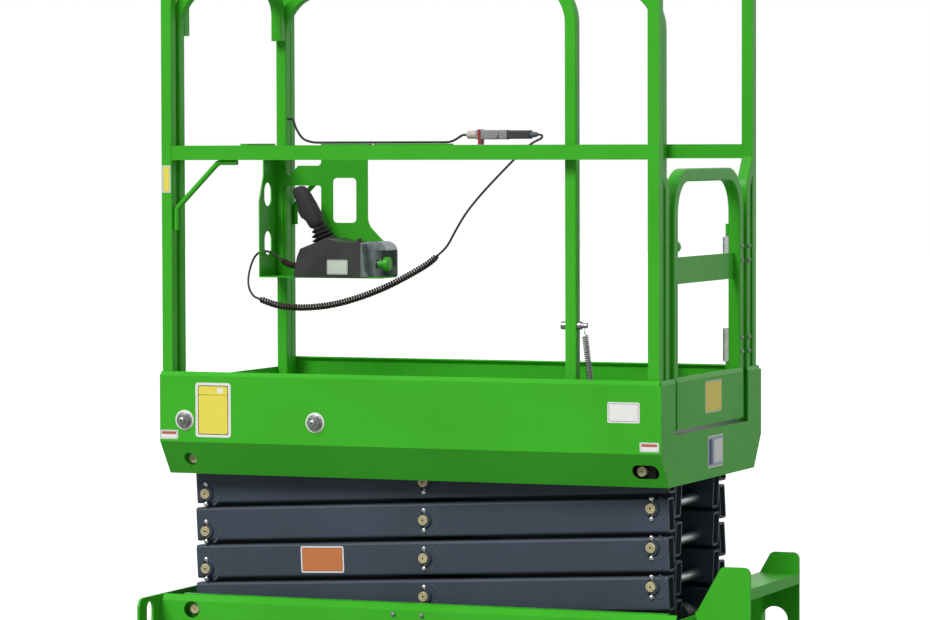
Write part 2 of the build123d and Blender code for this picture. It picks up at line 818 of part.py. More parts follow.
def guard_rails():
    """Side frames, their middle rails and braces, the gate jambs and the rear top rail."""
    x0 = platform_x0 + rail / 2
    x1 = platform_x1 - post_rear - rail / 2
    z = rail_z - rail / 2
    low = deck_z
    mid_low = mid_z - rail_mid_height / 2
    pieces = []
    for side in (1, -1):
        y = -main_rail_y * side
        jamb = -jamb_y * side
        frame = bent_tube([(x0, y, low), (x0, y, z), (x1 - rail / 2, y, z)], rail, rail, rail_bend)
        middle = box(
            x0 + rail / 2, x1 - rail / 2, y - rail / 2, y + rail / 2, mid_low, mid_low + rail_mid_height,
        )
        post = box(x1 - rail / 2, x1 + rail / 2, y - rail / 2, y + rail / 2, low, rail_z)
        jamb = bent_tube(
            [(x1, y, mid_low), (x1, jamb, mid_low - jamb_bend_drop), (x1, jamb, low)], rail, rail, jamb_bend,
        )
        x_post = x0 + rail / 2 + brace_r - 1
        x_top = x_post + brace_rise
        z_top = mid_low - brace_r + 1
        brace = round_bar(
            [
                (x_post, y, z_top - brace_rise - brace_end),
                (x_post, y, z_top - brace_rise),
                (x_top, y, z_top),
                (x_top + brace_end, y, z_top),
            ],
            brace_r, 20,
        )
        pieces += [frame, middle, post.fuse(jamb), brace - frame - middle]
    inner = main_rail_y - rail / 2
    pieces.append(box(x1 - rail / 2, x1 + rail / 2, -inner, inner, rail_z - rail, rail_z))
    return Compound(pieces)


def gate():
    """Arched gate with a middle plate and a toe plate."""
    x = gate_x
    half = gate_width / 2 - gate_tube / 2
    low = deck_z + gate_low_gap
    top = deck_z + gate_top - gate_tube / 2
    arch = bent_tube([(x, -half, low), (x, -half, top), (x, half, top), (x, half, low)], gate_tube, gate_tube, gate_bend)
    plate = box(x - gate_sheet, x, -half, half, deck_z + gate_plate_low, deck_z + gate_plate_high)
    face = x + gate_tube / 2
    toe = plate_xz(
        [
            (face, low), (face + gate_sheet, low), (face + gate_sheet, crease_z),
            (face + gate_sheet - end_lip_in, crease_z + lip_up), (face - end_lip_in, crease_z + lip_up),
            (face, crease_z),
        ],
        -gate_toe_width / 2, gate_toe_width / 2,
    )
    pieces = [arch, plate, toe]
    for z in hinge_rows():
        leaf = box(
            x - gate_tube / 2 - hinge_leaf, x - gate_tube / 2, half - gate_tube / 2 + 1, hinge_y, z, z + hinge_len,
        )
        pieces.append(leaf)
        pieces += barrel_rings(z, 0)
    frame = fuse(pieces)
    for z in hinge_rows():
        frame -= cylinder_z(hinge_x, hinge_y, z - 1, z + hinge_len + 1, hinge_pin_r)
        for ring_z in ring_starts(z, 1):
            frame -= cylinder_z(
                hinge_x, hinge_y, ring_z - fit_gap, ring_z + ring_height() + fit_gap, hinge_barrel_r + 1,
            )
    return frame


def gate_latch():
    """Spring bolt through the gate's near upright, with its ball knob inside."""
    z = deck_z + latch_rise
    inner = -gate_width / 2 + gate_tube
    knob_y = inner + knob_r + 4
    knob = Pos(gate_x, knob_y, z) * Sphere(knob_r)
    collar = cylinder_y(gate_x, inner, inner + 6, z, bolt_r + 4)
    bolt = cylinder_y(gate_x, -jamb_y + rail / 2 + latch_tip, -gate_width / 2, z, bolt_r)
    return Compound([fuse([knob, collar]), bolt])


# ================================================================ gate hinges
def hinge_rows():
    """Heights of the gate's two hinges."""
    return (deck_z + hinge_low, deck_z + hinge_low + hinge_pitch)


def ring_height():
    """Height of one of the five rings of a hinge barrel."""
    return hinge_len / 5


def ring_starts(z, first):
    """Heights of every second ring from the first or second one."""
    return [z + ring_height() * i for i in range(first, 5, 2)]


def barrel_rings(z, first):
    """The rings of one hinge leaf around the pin."""
    gap = fit_gap / 2
    return [
        cylinder_z(hinge_x, hinge_y, ring_z + gap, ring_z + ring_height() - gap, hinge_barrel_r)
        for ring_z in ring_starts(z, first)
    ]


def gate_hinges():
    """Jamb leaves with their rings and pins, on the far side of the entry."""
    pieces = []
    back = gate_x - rail / 2
    for z in hinge_rows():
        leaf = box(back - hinge_leaf, back, hinge_y, jamb_y + rail / 2 - 1, z, z + hinge_len)
        rings = fuse([leaf] + barrel_rings(z, 1))
        for ring_z in ring_starts(z, 0):
            rings -= cylinder_z(
                hinge_x, hinge_y, ring_z - fit_gap, ring_z + ring_height() + fit_gap, hinge_barrel_r + 1,
            )
        pin = cylinder_z(hinge_x, hinge_y, z, z + hinge_len, hinge_pin_r - fit_gap)
        pieces.append(rings.fuse(pin))
    return Compound(pieces)


# ================================================================ extension
def ext_deck():
    """The sliding deck plate with its side channels and front toe board."""
    y = ext_rail_y + rail / 2
    x0 = platform_x0 + 1
    x1 = x0 + ext_len
    plate = box(x0, x1, -y, y, ext_floor_z, ext_floor_z + ext_deck_thick)
    pieces = [plate]
    for side in (-1, 1):
        ya, yb = sorted((side * y, side * (y - ext_channel_width)))
        channel = box(x0, x1, ya, yb, ext_floor_z, ext_floor_z + ext_channel)
        pieces.append(channel - box(
            x0 - 1, x1 + 1, ya + ext_deck_thick, yb - ext_deck_thick,
            ext_floor_z + ext_deck_thick, ext_floor_z + ext_channel - ext_deck_thick,
        ))
    pieces.append(box(x0, x0 + ext_deck_thick, -y, y, ext_floor_z, ext_floor_z + ext_toe))
    return fuse(pieces)


def ext_rails():
    """Side frames of the extension, its front rails, two short front legs and the strips on the rails."""
    z0 = ext_floor_z + ext_channel
    x0 = platform_x0 + 4 + rail / 2
    x1 = platform_x0 + 1 + ext_len - rail / 2
    top = deck_z + ext_rail_top - rail / 2
    mid_low = mid_z - rail_mid_height / 2
    strip_z = mid_low + rail_mid_height
    inner = ext_rail_y - rail / 2
    leg_low = top - ext_drop
    bolt_hole = cylinder_x(x1 - rail, x1 + rail, -ext_rail_y, deck_z + lock_rise, lock_bolt_r + fit_gap)
    pieces = []
    for side in (-1, 1):
        y = side * ext_rail_y
        frame = bent_tube([(x0, y, z0), (x0, y, top), (x1, y, top), (x1, y, z0)], rail, rail, rail_bend)
        pieces.append(frame - bolt_hole)
        pieces.append(box(x0 + rail / 2, x1 - rail / 2, y - rail / 2, y + rail / 2, mid_low, strip_z))
        ya, yb = sorted((side * (ext_leg_y + rail / 2), side * inner))
        pieces.append(box(x0 - rail / 2, x0 + rail / 2, ya, yb, leg_low + 20, leg_low + 40))
    drop = [
        (x0, -ext_leg_y, leg_low + rail / 2),
        (x0, -ext_leg_y, top),
        (x0, ext_leg_y, top),
        (x0, ext_leg_y, leg_low + rail / 2),
    ]
    pieces.append(bent_tube(drop, rail, rail, rail_bend * 0.6))
    pieces.append(box(x0 - rail / 2, x0 + rail / 2, -inner, inner, mid_low, strip_z))
    strip_x = platform_x0 + bracket_x + bracket_neck + strip_gap
    pieces.append(box(strip_x, strip_x + strip_len, ext_rail_y - 8, ext_rail_y + 8, strip_z, strip_z + bracket_sheet))
    pieces.append(box(
        x0 - 10, x0 + 10, front_strip_y, front_strip_y + front_strip_len, strip_z, strip_z + front_strip_rise,
    ))
    return Compound(pieces)


def ext_lock():
    """Cross bolt in the extension's near rear upright, and the foot latch below it."""
    x1 = platform_x0 + 1 + ext_len
    y = -ext_rail_y
    z = deck_z + lock_rise
    reach = rail / 2 + 12
    bolt = cylinder_x(x1 - rail / 2 - reach, x1 - rail / 2 + reach + spring_x - 6, y, z, lock_bolt_r)
    head = cylinder_x(x1 - rail / 2 - reach, x1 - rail - 0.2, y, z, lock_bolt_r + 3)
    boss = cylinder_x(x1 + 0.2, x1 + spring_x - 7, y, z, lock_bolt_r + 3)
    pedal_z = deck_z + pedal_rise
    foot_x = x1 + spring_x
    arm = box(x1 + 0.2, foot_x + pedal_reach, y - 4, y + 4, pedal_z - 22, pedal_z)
    tread = box(foot_x + pedal_reach - pedal_back, foot_x + pedal_reach, y - 4, y - 4 + pedal_width, pedal_z - 4, pedal_z)
    tread = fillet(tread.edges().filter_by(Axis.Z).sort_by(Axis.Y)[-2:], 8)
    hook = box(foot_x + 20, foot_x + 30, y - 4, y + 4, ext_floor_z + fit_gap, pedal_z - 20)
    latch = fuse([arm, tread, hook])
    return Compound([fuse([bolt, head, boss]), latch])


def lock_spring():
    """Outer form of the tension spring between the cross bolt and the foot latch."""
    x = platform_x0 + 1 + ext_len + spring_x
    z0 = deck_z + pedal_rise
    z1 = deck_z + lock_rise - lock_bolt_r - fit_gap
    coil = cylinder_z(x, -ext_rail_y, z0 + 16, z1 - 12, spring_r)
    hooks = cylinder_z(x, -ext_rail_y, z0 + fit_gap, z1, 1.6)
    return fuse([coil, hooks])


def control_bracket():
    """Folded sheet hung on the far extension rail: back, end cheek and tray."""
    thick = bracket_sheet
    x0 = platform_x0 + bracket_x
    y1 = bracket_y
    y0 = y1 - thick
    top = mid_z - rail_mid_height / 2
    low = top - bracket_drop
    band = top - 16
    neck = x0 + bracket_neck
    far = x0 + bracket_len
    column = x0 + bracket_neck / 2
    outline = plate_xz(
        [
            (x0, low), (far, low), (far, low + 84), (neck + 40, low + 84), (neck, low + 124),
            (neck, top + rail_mid_height), (column, top + rail_mid_height), (column, band + 6), (column - 6, band),
            (x0 + 60, band), (x0 + 37, band - 24), (x0 + 14, band), (x0 + 27, band),
            (x0 + 27, top - 0.2), (x0, top - 0.2),
        ],
        y0, y1,
    )
    outline = rounded_corner(outline, far, low + 84, 24)
    outline = rounded_corner(outline, neck + 40, low + 84, 20)
    outline = rounded_corner(outline, neck, low + 124, 40)
    window = box(column + 30, column + 90, y0 - 1, y1 + 1, low + 127, low + 232)
    window = fillet(window.edges().filter_by(Axis.Y), 10)
    bay = box(x0 + thick + 18, column, y0 - 1, y1 + 1, low + 24, band - bracket_band)
    bay = fillet(bay.edges().filter_by(Axis.Y), 6)
    back = outline - window - bay
    hook = box(column, neck, y0, ext_rail_y + rail / 2, mid_z + rail_mid_height / 2, mid_z + rail_mid_height / 2 + thick)
    front = y1 - bracket_depth
    cheek = plate_yz(
        [(front, low), (y0, low), (y0, top - 0.2), (front + 24, top - 0.2), (front + 24, band - 20), (front, band - 80)],
        x0, x0 + thick,
    )
    for z in (low + 194, low + 80):
        slot = Plane.YZ.offset(x0 - 1) * Pos((front + y0) / 2, z) * SlotOverall(56, 40, rotation=90)
        cheek -= extrude(slot, amount=thick + 2, dir=(1, 0, 0))
    tray = box(x0, far, front, y0, low, low + thick)
    return fuse([back, hook, cheek, tray])


def rounded_corner(plate, x, z, radius):
    """Round one upright edge of a plate, found by its place."""
    corner = plate.edges().filter_by(Axis.Y).sort_by(lambda e: math.hypot(e.center().X - x, e.center().Z - z))[0]
    return fillet(corner, radius)


def box_floor_z():
    """Top of the bracket's tray."""
    return mid_z - rail_mid_height / 2 - bracket_drop + bracket_sheet


def box_profile(lift):
    """Side outline of the control housing, raised by a gap."""
    z0 = box_floor_z() + lift
    x0 = platform_x0 + box_x
    return [
        (x0, z0), (x0 + 184, z0), (x0 + 173, z0 + 80), (x0 + 116, z0 + 82), (x0 + 84, z0 + 90),
        (x0 + 46, z0 + 76), (x0 + 17, z0 + 65), (x0 + 9, z0 + 46),
    ]


def control_box():
    """Sloped housing on the tray with its guard, stop button and key switch."""
    z0 = box_floor_z()
    x0 = platform_x0 + box_x
    y1 = bracket_y - bracket_sheet - fit_gap
    y0 = y1 - box_depth
    body = plate_xz(box_profile(0), y0, y1)
    body = fillet(body.edges().filter_by(Axis.Y).filter_by(lambda e: e.center().Z > z0 + 40), 4)
    guard = box(x0 + 170, x0 + 224, y0 + 30, y1 - 4, z0, z0 + 82)
    guard = fillet(guard.edges().filter_by(Axis.Y).sort_by(lambda e: e.center().X + e.center().Z)[-1:], 26)
    guard -= box(x0 + 196, x0 + 226, y0 + 28, y1 - 8, z0 - 1, z0 + 62)
    button = cylinder_x(x0 + 190, x0 + 214, y0 + 46, z0 + 30, 9)
    head = cylinder_x(x0 + 214, x0 + 226, y0 + 46, z0 + 30, 17)
    head = fillet(head.edges().filter_by(GeomType.CIRCLE).sort_by(Axis.X)[-1:], 5)
    key = cylinder_z(x0 + 144, y0 + 55, z0 + 79, z0 + 88, 6)
    return fuse([body, guard, button, head, key])


def joystick():
    """Drive lever leaning over the box: bellows, shaft and grip with its trigger."""
    x = platform_x0 + stick_x
    y = bracket_y - bracket_sheet - box_depth / 2
    z = box_floor_z() + 84
    tilt = Pos(x, y, z) * Rot(0, -stick_tilt, 0)
    rings = []
    for i in range(4):
        ring = Cone(27 - 3 * i, 15 - i, 7, align=(Align.CENTER, Align.CENTER, Align.MIN))
        rings.append(Pos(0, 0, 8 * i + 1) * ring)
    core = Cylinder(13, 44, align=(Align.CENTER, Align.CENTER, Align.MIN))
    boot = Pos(0, 0, -18) * Cylinder(26, 20, align=(Align.CENTER, Align.CENTER, Align.MIN))
    grip = Pos(0, 0, 36) * extrude(RectangleRounded(30, 34, 12), amount=98)
    grip = fillet(grip.edges().sort_by(Axis.Z)[-8:], 6)
    trigger = Pos(-17, 0, 84) * Rot(0, 14, 0) * Box(12, 16, 38)
    trigger = fillet(trigger.edges().filter_by(Axis.Y), 3)
    lever = tilt * fuse(rings + [boot, core, grip, trigger])
    return lever - plate_xz(box_profile(fit_gap), y - box_depth, y + box_depth)


# ================================================================ control cord and its connector
def cord_start():
    """Face of the gland on the housing's front end, in the middle of its depth."""
    x = platform_x0 + box_x - gland_len / 2
    return (x, bracket_y - bracket_sheet - fit_gap - box_depth / 2, box_floor_z() + gland_rise)


def cord_end():
    """Back of the plug, above the far middle rail."""
    return (8.0, ext_rail_y, mid_z + rail_mid_height / 2 + socket_rise + plug_size / 2 + 1)


curl_one = [
    (-562.8, 217.4, 1102.3),
    (-588.0, 217.4, 1102.3),
    (-612.0, 217.0, 1118.0),
]
lead_one = [
    (-612.25, 217.0, 1118.16),
    (-634.0, 216.6, 1132.4),
    (-654.0, 213.0, 1137.5),
    (-666.0, 193.0, 1129.0),
    (-668.5, 171.0, 1104.0),
    (-668.5, 156.0, 1076.0),
    (-664.0, 149.0, 1050.0),
    (-652.0, 150.0, 1031.5),
    (-640.0, 152.0, 1027.0),
]
curl_two = [
    (-640.0, 152.0, 1027.0),
    (-592.0, 160.0, 1009.0),
    (-535.0, 170.0, 1005.0),
    (-465.0, 182.0, 1012.0),
    (-398.0, 193.0, 1031.0),
    (-335.0, 204.0, 1056.0),
    (-276.0, 214.0, 1087.0),
    (-236.0, 220.5, 1111.0),
    (-215.0, 224.0, 1130.0),
]
lead_two = [
    (-215.0, 224.0, 1130.0),
    (-194.0, 227.5, 1149.0),
    (-176.0, 230.5, 1184.0),
    (-150.0, 235.0, 1228.0),
    (-112.0, 242.0, 1274.0),
    (-68.0, 249.0, 1320.0),
    (-28.0, 257.0, 1361.0),
    (2.0, 264.0, 1389.0),
    (24.0, 275.0, 1399.0),
    (20.0, 284.0, 1407.6),
    cord_end(),
]


def route_radii(points):
    """Arc radius at each inner point, as large as its two runs allow."""
    radii = []
    for a, b, c in zip(points, points[1:], points[2:]):
        back = Vector(*b) - Vector(*a)
        ahead = Vector(*c) - Vector(*b)
        half = math.radians(back.get_angle(ahead) / 2)
        radii.append(0.45 * min(back.length, ahead.length) / math.tan(half))
    return radii


def route_tube(name, points, radius):
    """A round tube along a route of runs and tangent arcs."""
    radii = route_radii(points)
    path = FilletPolyline(*points, radius=radii)
    tube = sweep(Plane(origin=path @ 0, z_dir=path % 0) * Circle(radius), path=path)
    share = tube.volume / (math.pi * radius ** 2 * path.length)
    print(name, "length", round(path.length), "radii", [round(r) for r in radii], "volume share", round(share, 3))
    return tube


def cord_gland():
    """Threaded gland with its nut on the housing's front end."""
    x, y, z = cord_start()
    body = cylinder_x(x, x + gland_len + 8, y, z, gland_r)
    nut = Pos(x + 3, y, z) * Rot(0, 90, 0) * extrude(RegularPolygon(gland_r + 2, 6), amount=4)
    return fuse([body, nut]) - plate_xz(box_profile(0), y - box_depth, y + box_depth)


def cord_plug():
    """Plug on the cord's end: square body with ribs and a tapered boot."""
    x, y, z = cord_end()
    half = plug_size / 2
    body = box(x - plug_boot - plug_len, x - plug_boot, y - half, y + half, z - half, z + half)
    body = fillet(body.edges().filter_by(Axis.X), 3)
    boot = Pos(x - plug_boot, y, z) * Rot(0, 90, 0) * Cone(
        half * 0.8, plug_boot_r, plug_boot, align=(Align.CENTER, Align.CENTER, Align.MIN),
    )
    return fuse([body, boot])


def rail_socket():
    """Socket housing that the plug goes into, with its latch and the sealed end for the wire."""
    x, y, z = cord_end()
    x1 = x - plug_boot - plug_len
    x0 = x1 - socket_len
    half = plug_size / 2 + 1
    body = box(x0, x1, y - half, y + half, z - half, z + half)
    body = fillet(body.edges().filter_by(Axis.X), 3)
    lug = cylinder_y(x0 + socket_len * 0.62, y - half - 4, y - half + 1, z, 9)
    seal = cylinder_x(x0 - socket_end, x0, y, z, half - 1.5)
    seal = chamfer(seal.edges().filter_by(GeomType.CIRCLE).sort_by(Axis.X)[0], 3)
    return fuse([body, lug, seal])


def rail_tie():
    """Band that holds the socket housing and stands on the middle rail."""
    x, y, z = cord_end()
    x0 = x - plug_boot - plug_len - socket_len + tie_inset / 4
    half = plug_size / 2 + 1 + fit_gap
    top = z + half + 1.2
    ring = box(x0, x0 + tie_width, y - half - 1.2, y + half + 1.2, mid_z + rail_mid_height / 2 + fit_gap, top)
    hole = box(x0 - 1, x0 + tie_width + 1, y - half, y + half, z - half, z + half)
    return ring - hole


def rail_wire():
    """Supply wire from the socket along the far middle rail into the front upright."""
    x, y, z = cord_end()
    x0 = x - plug_boot - plug_len - socket_len - socket_end
    lie = mid_z + rail_mid_height / 2 + bracket_sheet + lead_r + fit_gap
    post = platform_x0 + 4 + rail
    return route_tube(
        "rail_wire",
        [
            (x0 - fit_gap, y, z),
            (x0 - 12, y, z - 0.4),
            (x0 - 40, y + 1, lie),
            (platform_x0 + 92, y + 2, lie),
            (platform_x0 + 66, y + 1, lie + 8),
            (platform_x0 + 50, y, lie + 32),
            (post + 12, y, wire_entry_z),
            (post + fit_gap, y, wire_entry_z + 0.5),
        ],
        lead_r,
    )


def cord_coil():
    """Outer form of the short curly stretch beside the housing."""
    return route_tube("cord_coil", curl_one, curl_r)


def cord_lead():
    """The smooth stretch through the bracket's cheek and round under the tray."""
    return route_tube("cord_lead", lead_one, lead_r)


def cord_coil_2():
    """Outer form of the long curly stretch that sags under the bracket."""
    return route_tube("cord_coil_2", curl_two, curl_r)


def cord_tail():
    """The smooth stretch up over the rail and back into the plug."""
    return route_tube("cord_tail", lead_two, lead_r)


build_table = {
    "chassis_tray": chassis_walls,
    "end_plate": end_plate,
    "rear_step": rear_step,
    "chassis_guides": chassis_guides,
    "power_pack": power_pack,
    "front_axle": front_axle,
    "rear_axle": rear_axle,
    "tie_rod": tie_rod,
    "lift_barrel": lift_barrel,
    "lift_rod": lift_rod,
    "platform_frame": platform_frame,
    "platform_guides": platform_guides,
    "main_deck": main_deck,
    "guard_rails": guard_rails,
    "gate_frame": gate,
    "gate_hinges": gate_hinges,
    "control_bracket": control_bracket,
    "control_box": control_box,
    "joystick": joystick,
    "gate_latch": gate_latch,
    "ext_lock": ext_lock,
    "lock_spring": lock_spring,
    "ext_deck": ext_deck,
    "ext_rails": ext_rails,
    "cord_gland": cord_gland,
    "cord_coil": cord_coil,
    "cord_lead": cord_lead,
    "cord_coil_2": cord_coil_2,
    "cord_tail": cord_tail,
    "cord_plug": cord_plug,
    "rail_socket": rail_socket,
    "rail_tie": rail_tie,
    "rail_wire": rail_wire,
}
for name, make in build_table.items():
    save(name, make())
for level in range(1, levels + 1):
    save(f"arm_outer_{level}", arm_pair(level, True))
    save(f"arm_inner_{level}", arm_pair(level, False))
    save(f"pins_{level}", pins(level))
save("shaft_lower", shaft(*node_place(0, True), shaft_half))
save("shaft_upper", shaft(*node_place(levels, False), shaft_half))
save("slide_lower", slide_blocks(pivot_z))
save("slide_upper", slide_blocks(stack_top_z))
for end, x in (("front", front_axle_x), ("rear", rear_axle_x)):
    for word, side in (("near", -1), ("far", 1)):
        save(f"tyre_{end}_{word}", tyre(x, side * wheel_y))
        save(f"rim_{end}_{word}", rim(x, side * wheel_y, side))
for word, side in (("near", -1), ("far", 1)):
    save(f"knuckle_{word}", knuckle(side))
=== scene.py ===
"""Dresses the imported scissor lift: a finish for every CAD node, and the small pieces that sit on them."""

import json
import math

import bmesh
import bpy
from mathutils import Matrix, Vector


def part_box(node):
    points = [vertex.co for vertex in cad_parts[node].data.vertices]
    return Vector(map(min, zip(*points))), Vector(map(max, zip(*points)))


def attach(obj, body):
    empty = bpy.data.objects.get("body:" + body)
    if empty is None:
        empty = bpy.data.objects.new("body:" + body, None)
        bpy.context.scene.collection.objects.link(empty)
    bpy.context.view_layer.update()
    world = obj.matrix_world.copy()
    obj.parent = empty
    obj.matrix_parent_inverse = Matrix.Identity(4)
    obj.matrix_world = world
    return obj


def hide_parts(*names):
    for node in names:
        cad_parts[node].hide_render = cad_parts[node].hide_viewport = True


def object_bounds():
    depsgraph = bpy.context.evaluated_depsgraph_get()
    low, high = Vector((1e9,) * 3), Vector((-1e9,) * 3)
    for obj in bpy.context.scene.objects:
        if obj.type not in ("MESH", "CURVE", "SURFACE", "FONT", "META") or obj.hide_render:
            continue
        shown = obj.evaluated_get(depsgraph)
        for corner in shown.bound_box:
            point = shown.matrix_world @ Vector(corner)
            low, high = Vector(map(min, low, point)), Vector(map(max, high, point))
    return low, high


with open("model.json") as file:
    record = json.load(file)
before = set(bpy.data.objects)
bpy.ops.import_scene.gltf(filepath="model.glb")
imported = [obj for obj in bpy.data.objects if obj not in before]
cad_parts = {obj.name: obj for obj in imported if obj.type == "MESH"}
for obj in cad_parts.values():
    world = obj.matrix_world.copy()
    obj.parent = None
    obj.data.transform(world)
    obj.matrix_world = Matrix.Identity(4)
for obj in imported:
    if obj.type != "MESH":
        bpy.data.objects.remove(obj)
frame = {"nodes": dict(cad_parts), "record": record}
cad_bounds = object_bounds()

MM = 0.001
X_AXIS = Vector((1, 0, 0))
Y_AXIS = Vector((0, 1, 0))
Z_AXIS = Vector((0, 0, 1))
NEAR = -Y_AXIS


# ================================================================ places, read from the frame
def span(node):
    """Lowest and highest corner of a CAD node."""
    low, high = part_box(node)
    return Vector(low), Vector(high)


def middle(node):
    """Centre of a CAD node's box."""
    low, high = span(node)
    return (low + high) / 2


wall_low, wall_high = span("platform_frame")
rail_low, rail_high = span("guard_rails")
gate_low, gate_high = span("gate_frame")
tray_low, tray_high = span("chassis_tray")
box_low, box_high = span("control_box")
foot_node = middle("shaft_lower")
head_node = middle("shaft_upper")
LEVELS = 4
level_rise = (head_node.z - foot_node.z) / LEVELS
arm_middle = (foot_node.x + head_node.x) / 2
lip_height = 9 * MM
crease_z = wall_high.z - lip_height


# ================================================================ materials
class Nodes:
    """A short way to build one node tree."""

    def __init__(self, name):
        self.material = bpy.data.materials.new(name)
        self.material.use_nodes = True
        self.tree = self.material.node_tree
        self.shader = self.tree.nodes["Principled BSDF"]
        self.place = self.add("ShaderNodeTexCoord").outputs["Object"]

    def add(self, kind, **values):
        """A node with its fields and unlinked sockets set."""
        node = self.tree.nodes.new(kind)
        for key, value in values.items():
            if hasattr(node, key):
                setattr(node, key, value)
            else:
                node.inputs[key.replace("_", " ")].default_value = value
        return node

    def link(self, source, target):
        """A wire between two sockets."""
        self.tree.links.new(source, target)

    def stretched(self, scale):
        """Object coordinates scaled by axis."""
        mapping = self.add("ShaderNodeMapping")
        mapping.inputs["Scale"].default_value = scale
        self.link(self.place, mapping.inputs["Vector"])
        return mapping.outputs["Vector"]

    def noise(self, scale, detail=3.0, rough=0.5, place=None):
        """Noise in the object's own place, 0 to 1."""
        node = self.add("ShaderNodeTexNoise", Scale=scale, Detail=detail, Roughness=rough)
        self.link(place or self.place, node.inputs["Vector"])
        return node.outputs["Fac"]

    def ramp(self, fac, stops):
        """Colours or greys at places along a factor."""
        node = self.add("ShaderNodeValToRGB")
        points = node.color_ramp.elements
        while len(points) < len(stops):
            points.new(0.5)
        for point, (at, colour) in zip(points, stops):
            point.position = at
            point.color = (*colour, 1)
        self.link(fac, node.inputs["Fac"])
        return node.outputs["Color"]

    def between(self, fac, low, high):
        """A factor mapped to a range."""
        node = self.add("ShaderNodeMapRange")
        node.inputs["To Min"].default_value = low
        node.inputs["To Max"].default_value = high
        self.link(fac, node.inputs["Value"])
        return node.outputs["Result"]

    def maths(self, operation, a, b=None):
        """One arithmetic step."""
        node = self.add("ShaderNodeMath", operation=operation)
        for socket, value in zip(node.inputs, (a, b)):
            if value is None:
                continue
            if isinstance(value, (int, float)):
                socket.default_value = value
            else:
                self.link(value, socket)
        return node.outputs["Value"]

    def axis(self, name):
        """One coordinate of the place."""
        node = self.add("ShaderNodeSeparateXYZ")
        self.link(self.place, node.inputs["Vector"])
        return node.outputs[name]

    def mix(self, fac, a, b):
        """Blend of two colours, each a socket or a tuple."""
        node = self.add("ShaderNodeMix", data_type="RGBA")
        self.link(fac, node.inputs["Factor"])
        for key, value in (("A", a), ("B", b)):
            socket = [s for s in node.inputs if s.name == key and s.type == "RGBA"][0]
            if isinstance(value, tuple):
                socket.default_value = (*value, 1)
            else:
                self.link(value, socket)
        return [s for s in node.outputs if s.type == "RGBA"][0]

    def colour(self, value):
        """Base colour from a socket or a tuple."""
        if isinstance(value, tuple):
            self.shader.inputs["Base Color"].default_value = (*value, 1)
        else:
            self.link(value, self.shader.inputs["Base Color"])

    def rough(self, source):
        """Roughness from a socket."""
        self.link(source, self.shader.inputs["Roughness"])

    def bump(self, height, distance, strength=1.0):
        """Relief in metres."""
        node = self.add("ShaderNodeBump", Strength=strength, Distance=distance)
        self.link(height, node.inputs["Height"])
        self.link(node.outputs["Normal"], self.shader.inputs["Normal"])

    def set(self, **values):
        """Constants on the shader's own sockets."""
        for key, value in values.items():
            self.shader.inputs[key.replace("_", " ")].default_value = value


def powder_coat(name, base, drift, gloss):
    """Sprayed and baked paint: slight colour drift, orange peel, and a clear surface."""
    n = Nodes(name)
    pale = tuple(min(1.0, c * (1 + drift) + 0.004) for c in base)
    deep = tuple(c * (1 - drift) for c in base)
    cloud = n.noise(3.2, 4.0, 0.55)
    n.colour(n.ramp(cloud, [(0.35, deep), (0.65, pale)]))
    n.rough(n.between(n.noise(38.0, 5.0, 0.6), gloss - 0.05, gloss + 0.08))
    n.bump(n.noise(420.0, 2.0, 0.4), 0.00035, 0.25)
    n.set(Coat_Weight=0.04, Coat_Roughness=0.3, Specular_IOR_Level=0.22)
    return n.material


def plated(name, base, rough, grain):
    """Turned and plated steel with fine brushing around its axis."""
    n = Nodes(name)
    brushed = n.noise(900.0, 2.0, 0.6, n.stretched(grain))
    patina = n.noise(55.0, 4.0, 0.6)
    dull = tuple(c * 0.72 for c in base)
    n.colour(n.ramp(patina, [(0.3, dull), (0.7, base)]))
    n.rough(n.between(brushed, rough - 0.08, rough + 0.1))
    n.bump(brushed, 0.00008, 0.4)
    n.set(Metallic=1.0)
    return n.material


def moulded(name, base, rough, grain_scale, depth):
    """Moulded plastic or rubber with a fine skin."""
    n = Nodes(name)
    skin = n.noise(grain_scale, 3.0, 0.5)
    dust = n.noise(14.0, 5.0, 0.65)
    pale = tuple(c * 1.5 + 0.006 for c in base)
    n.colour(n.ramp(dust, [(0.42, base), (0.72, pale)]))
    n.rough(n.between(dust, rough - 0.06, rough + 0.1))
    n.bump(skin, depth, 0.6)
    n.set(Specular_IOR_Level=0.4)
    return n.material


def pin_metal():
    """Yellow zinc on the pins' heads, hard chrome on the shafts between the arms."""
    n = Nodes("pin_metal")
    reach = n.maths("ABSOLUTE", n.maths("SUBTRACT", n.axis("Y"), foot_node.y))
    head = n.maths("GREATER_THAN", reach, HEAD_REACH)
    patina = n.noise(120.0, 4.0, 0.6)
    zinc = n.ramp(patina, [(0.3, (0.52, 0.44, 0.24)), (0.7, (0.80, 0.72, 0.46))])
    n.colour(n.mix(head, (0.62, 0.64, 0.67), zinc))
    n.rough(n.between(patina, 0.22, 0.42))
    n.bump(n.noise(700.0, 2.0, 0.5), 0.0001, 0.4)
    n.link(n.between(head, 1.0, 0.45), n.shader.inputs["Metallic"])
    return n.material


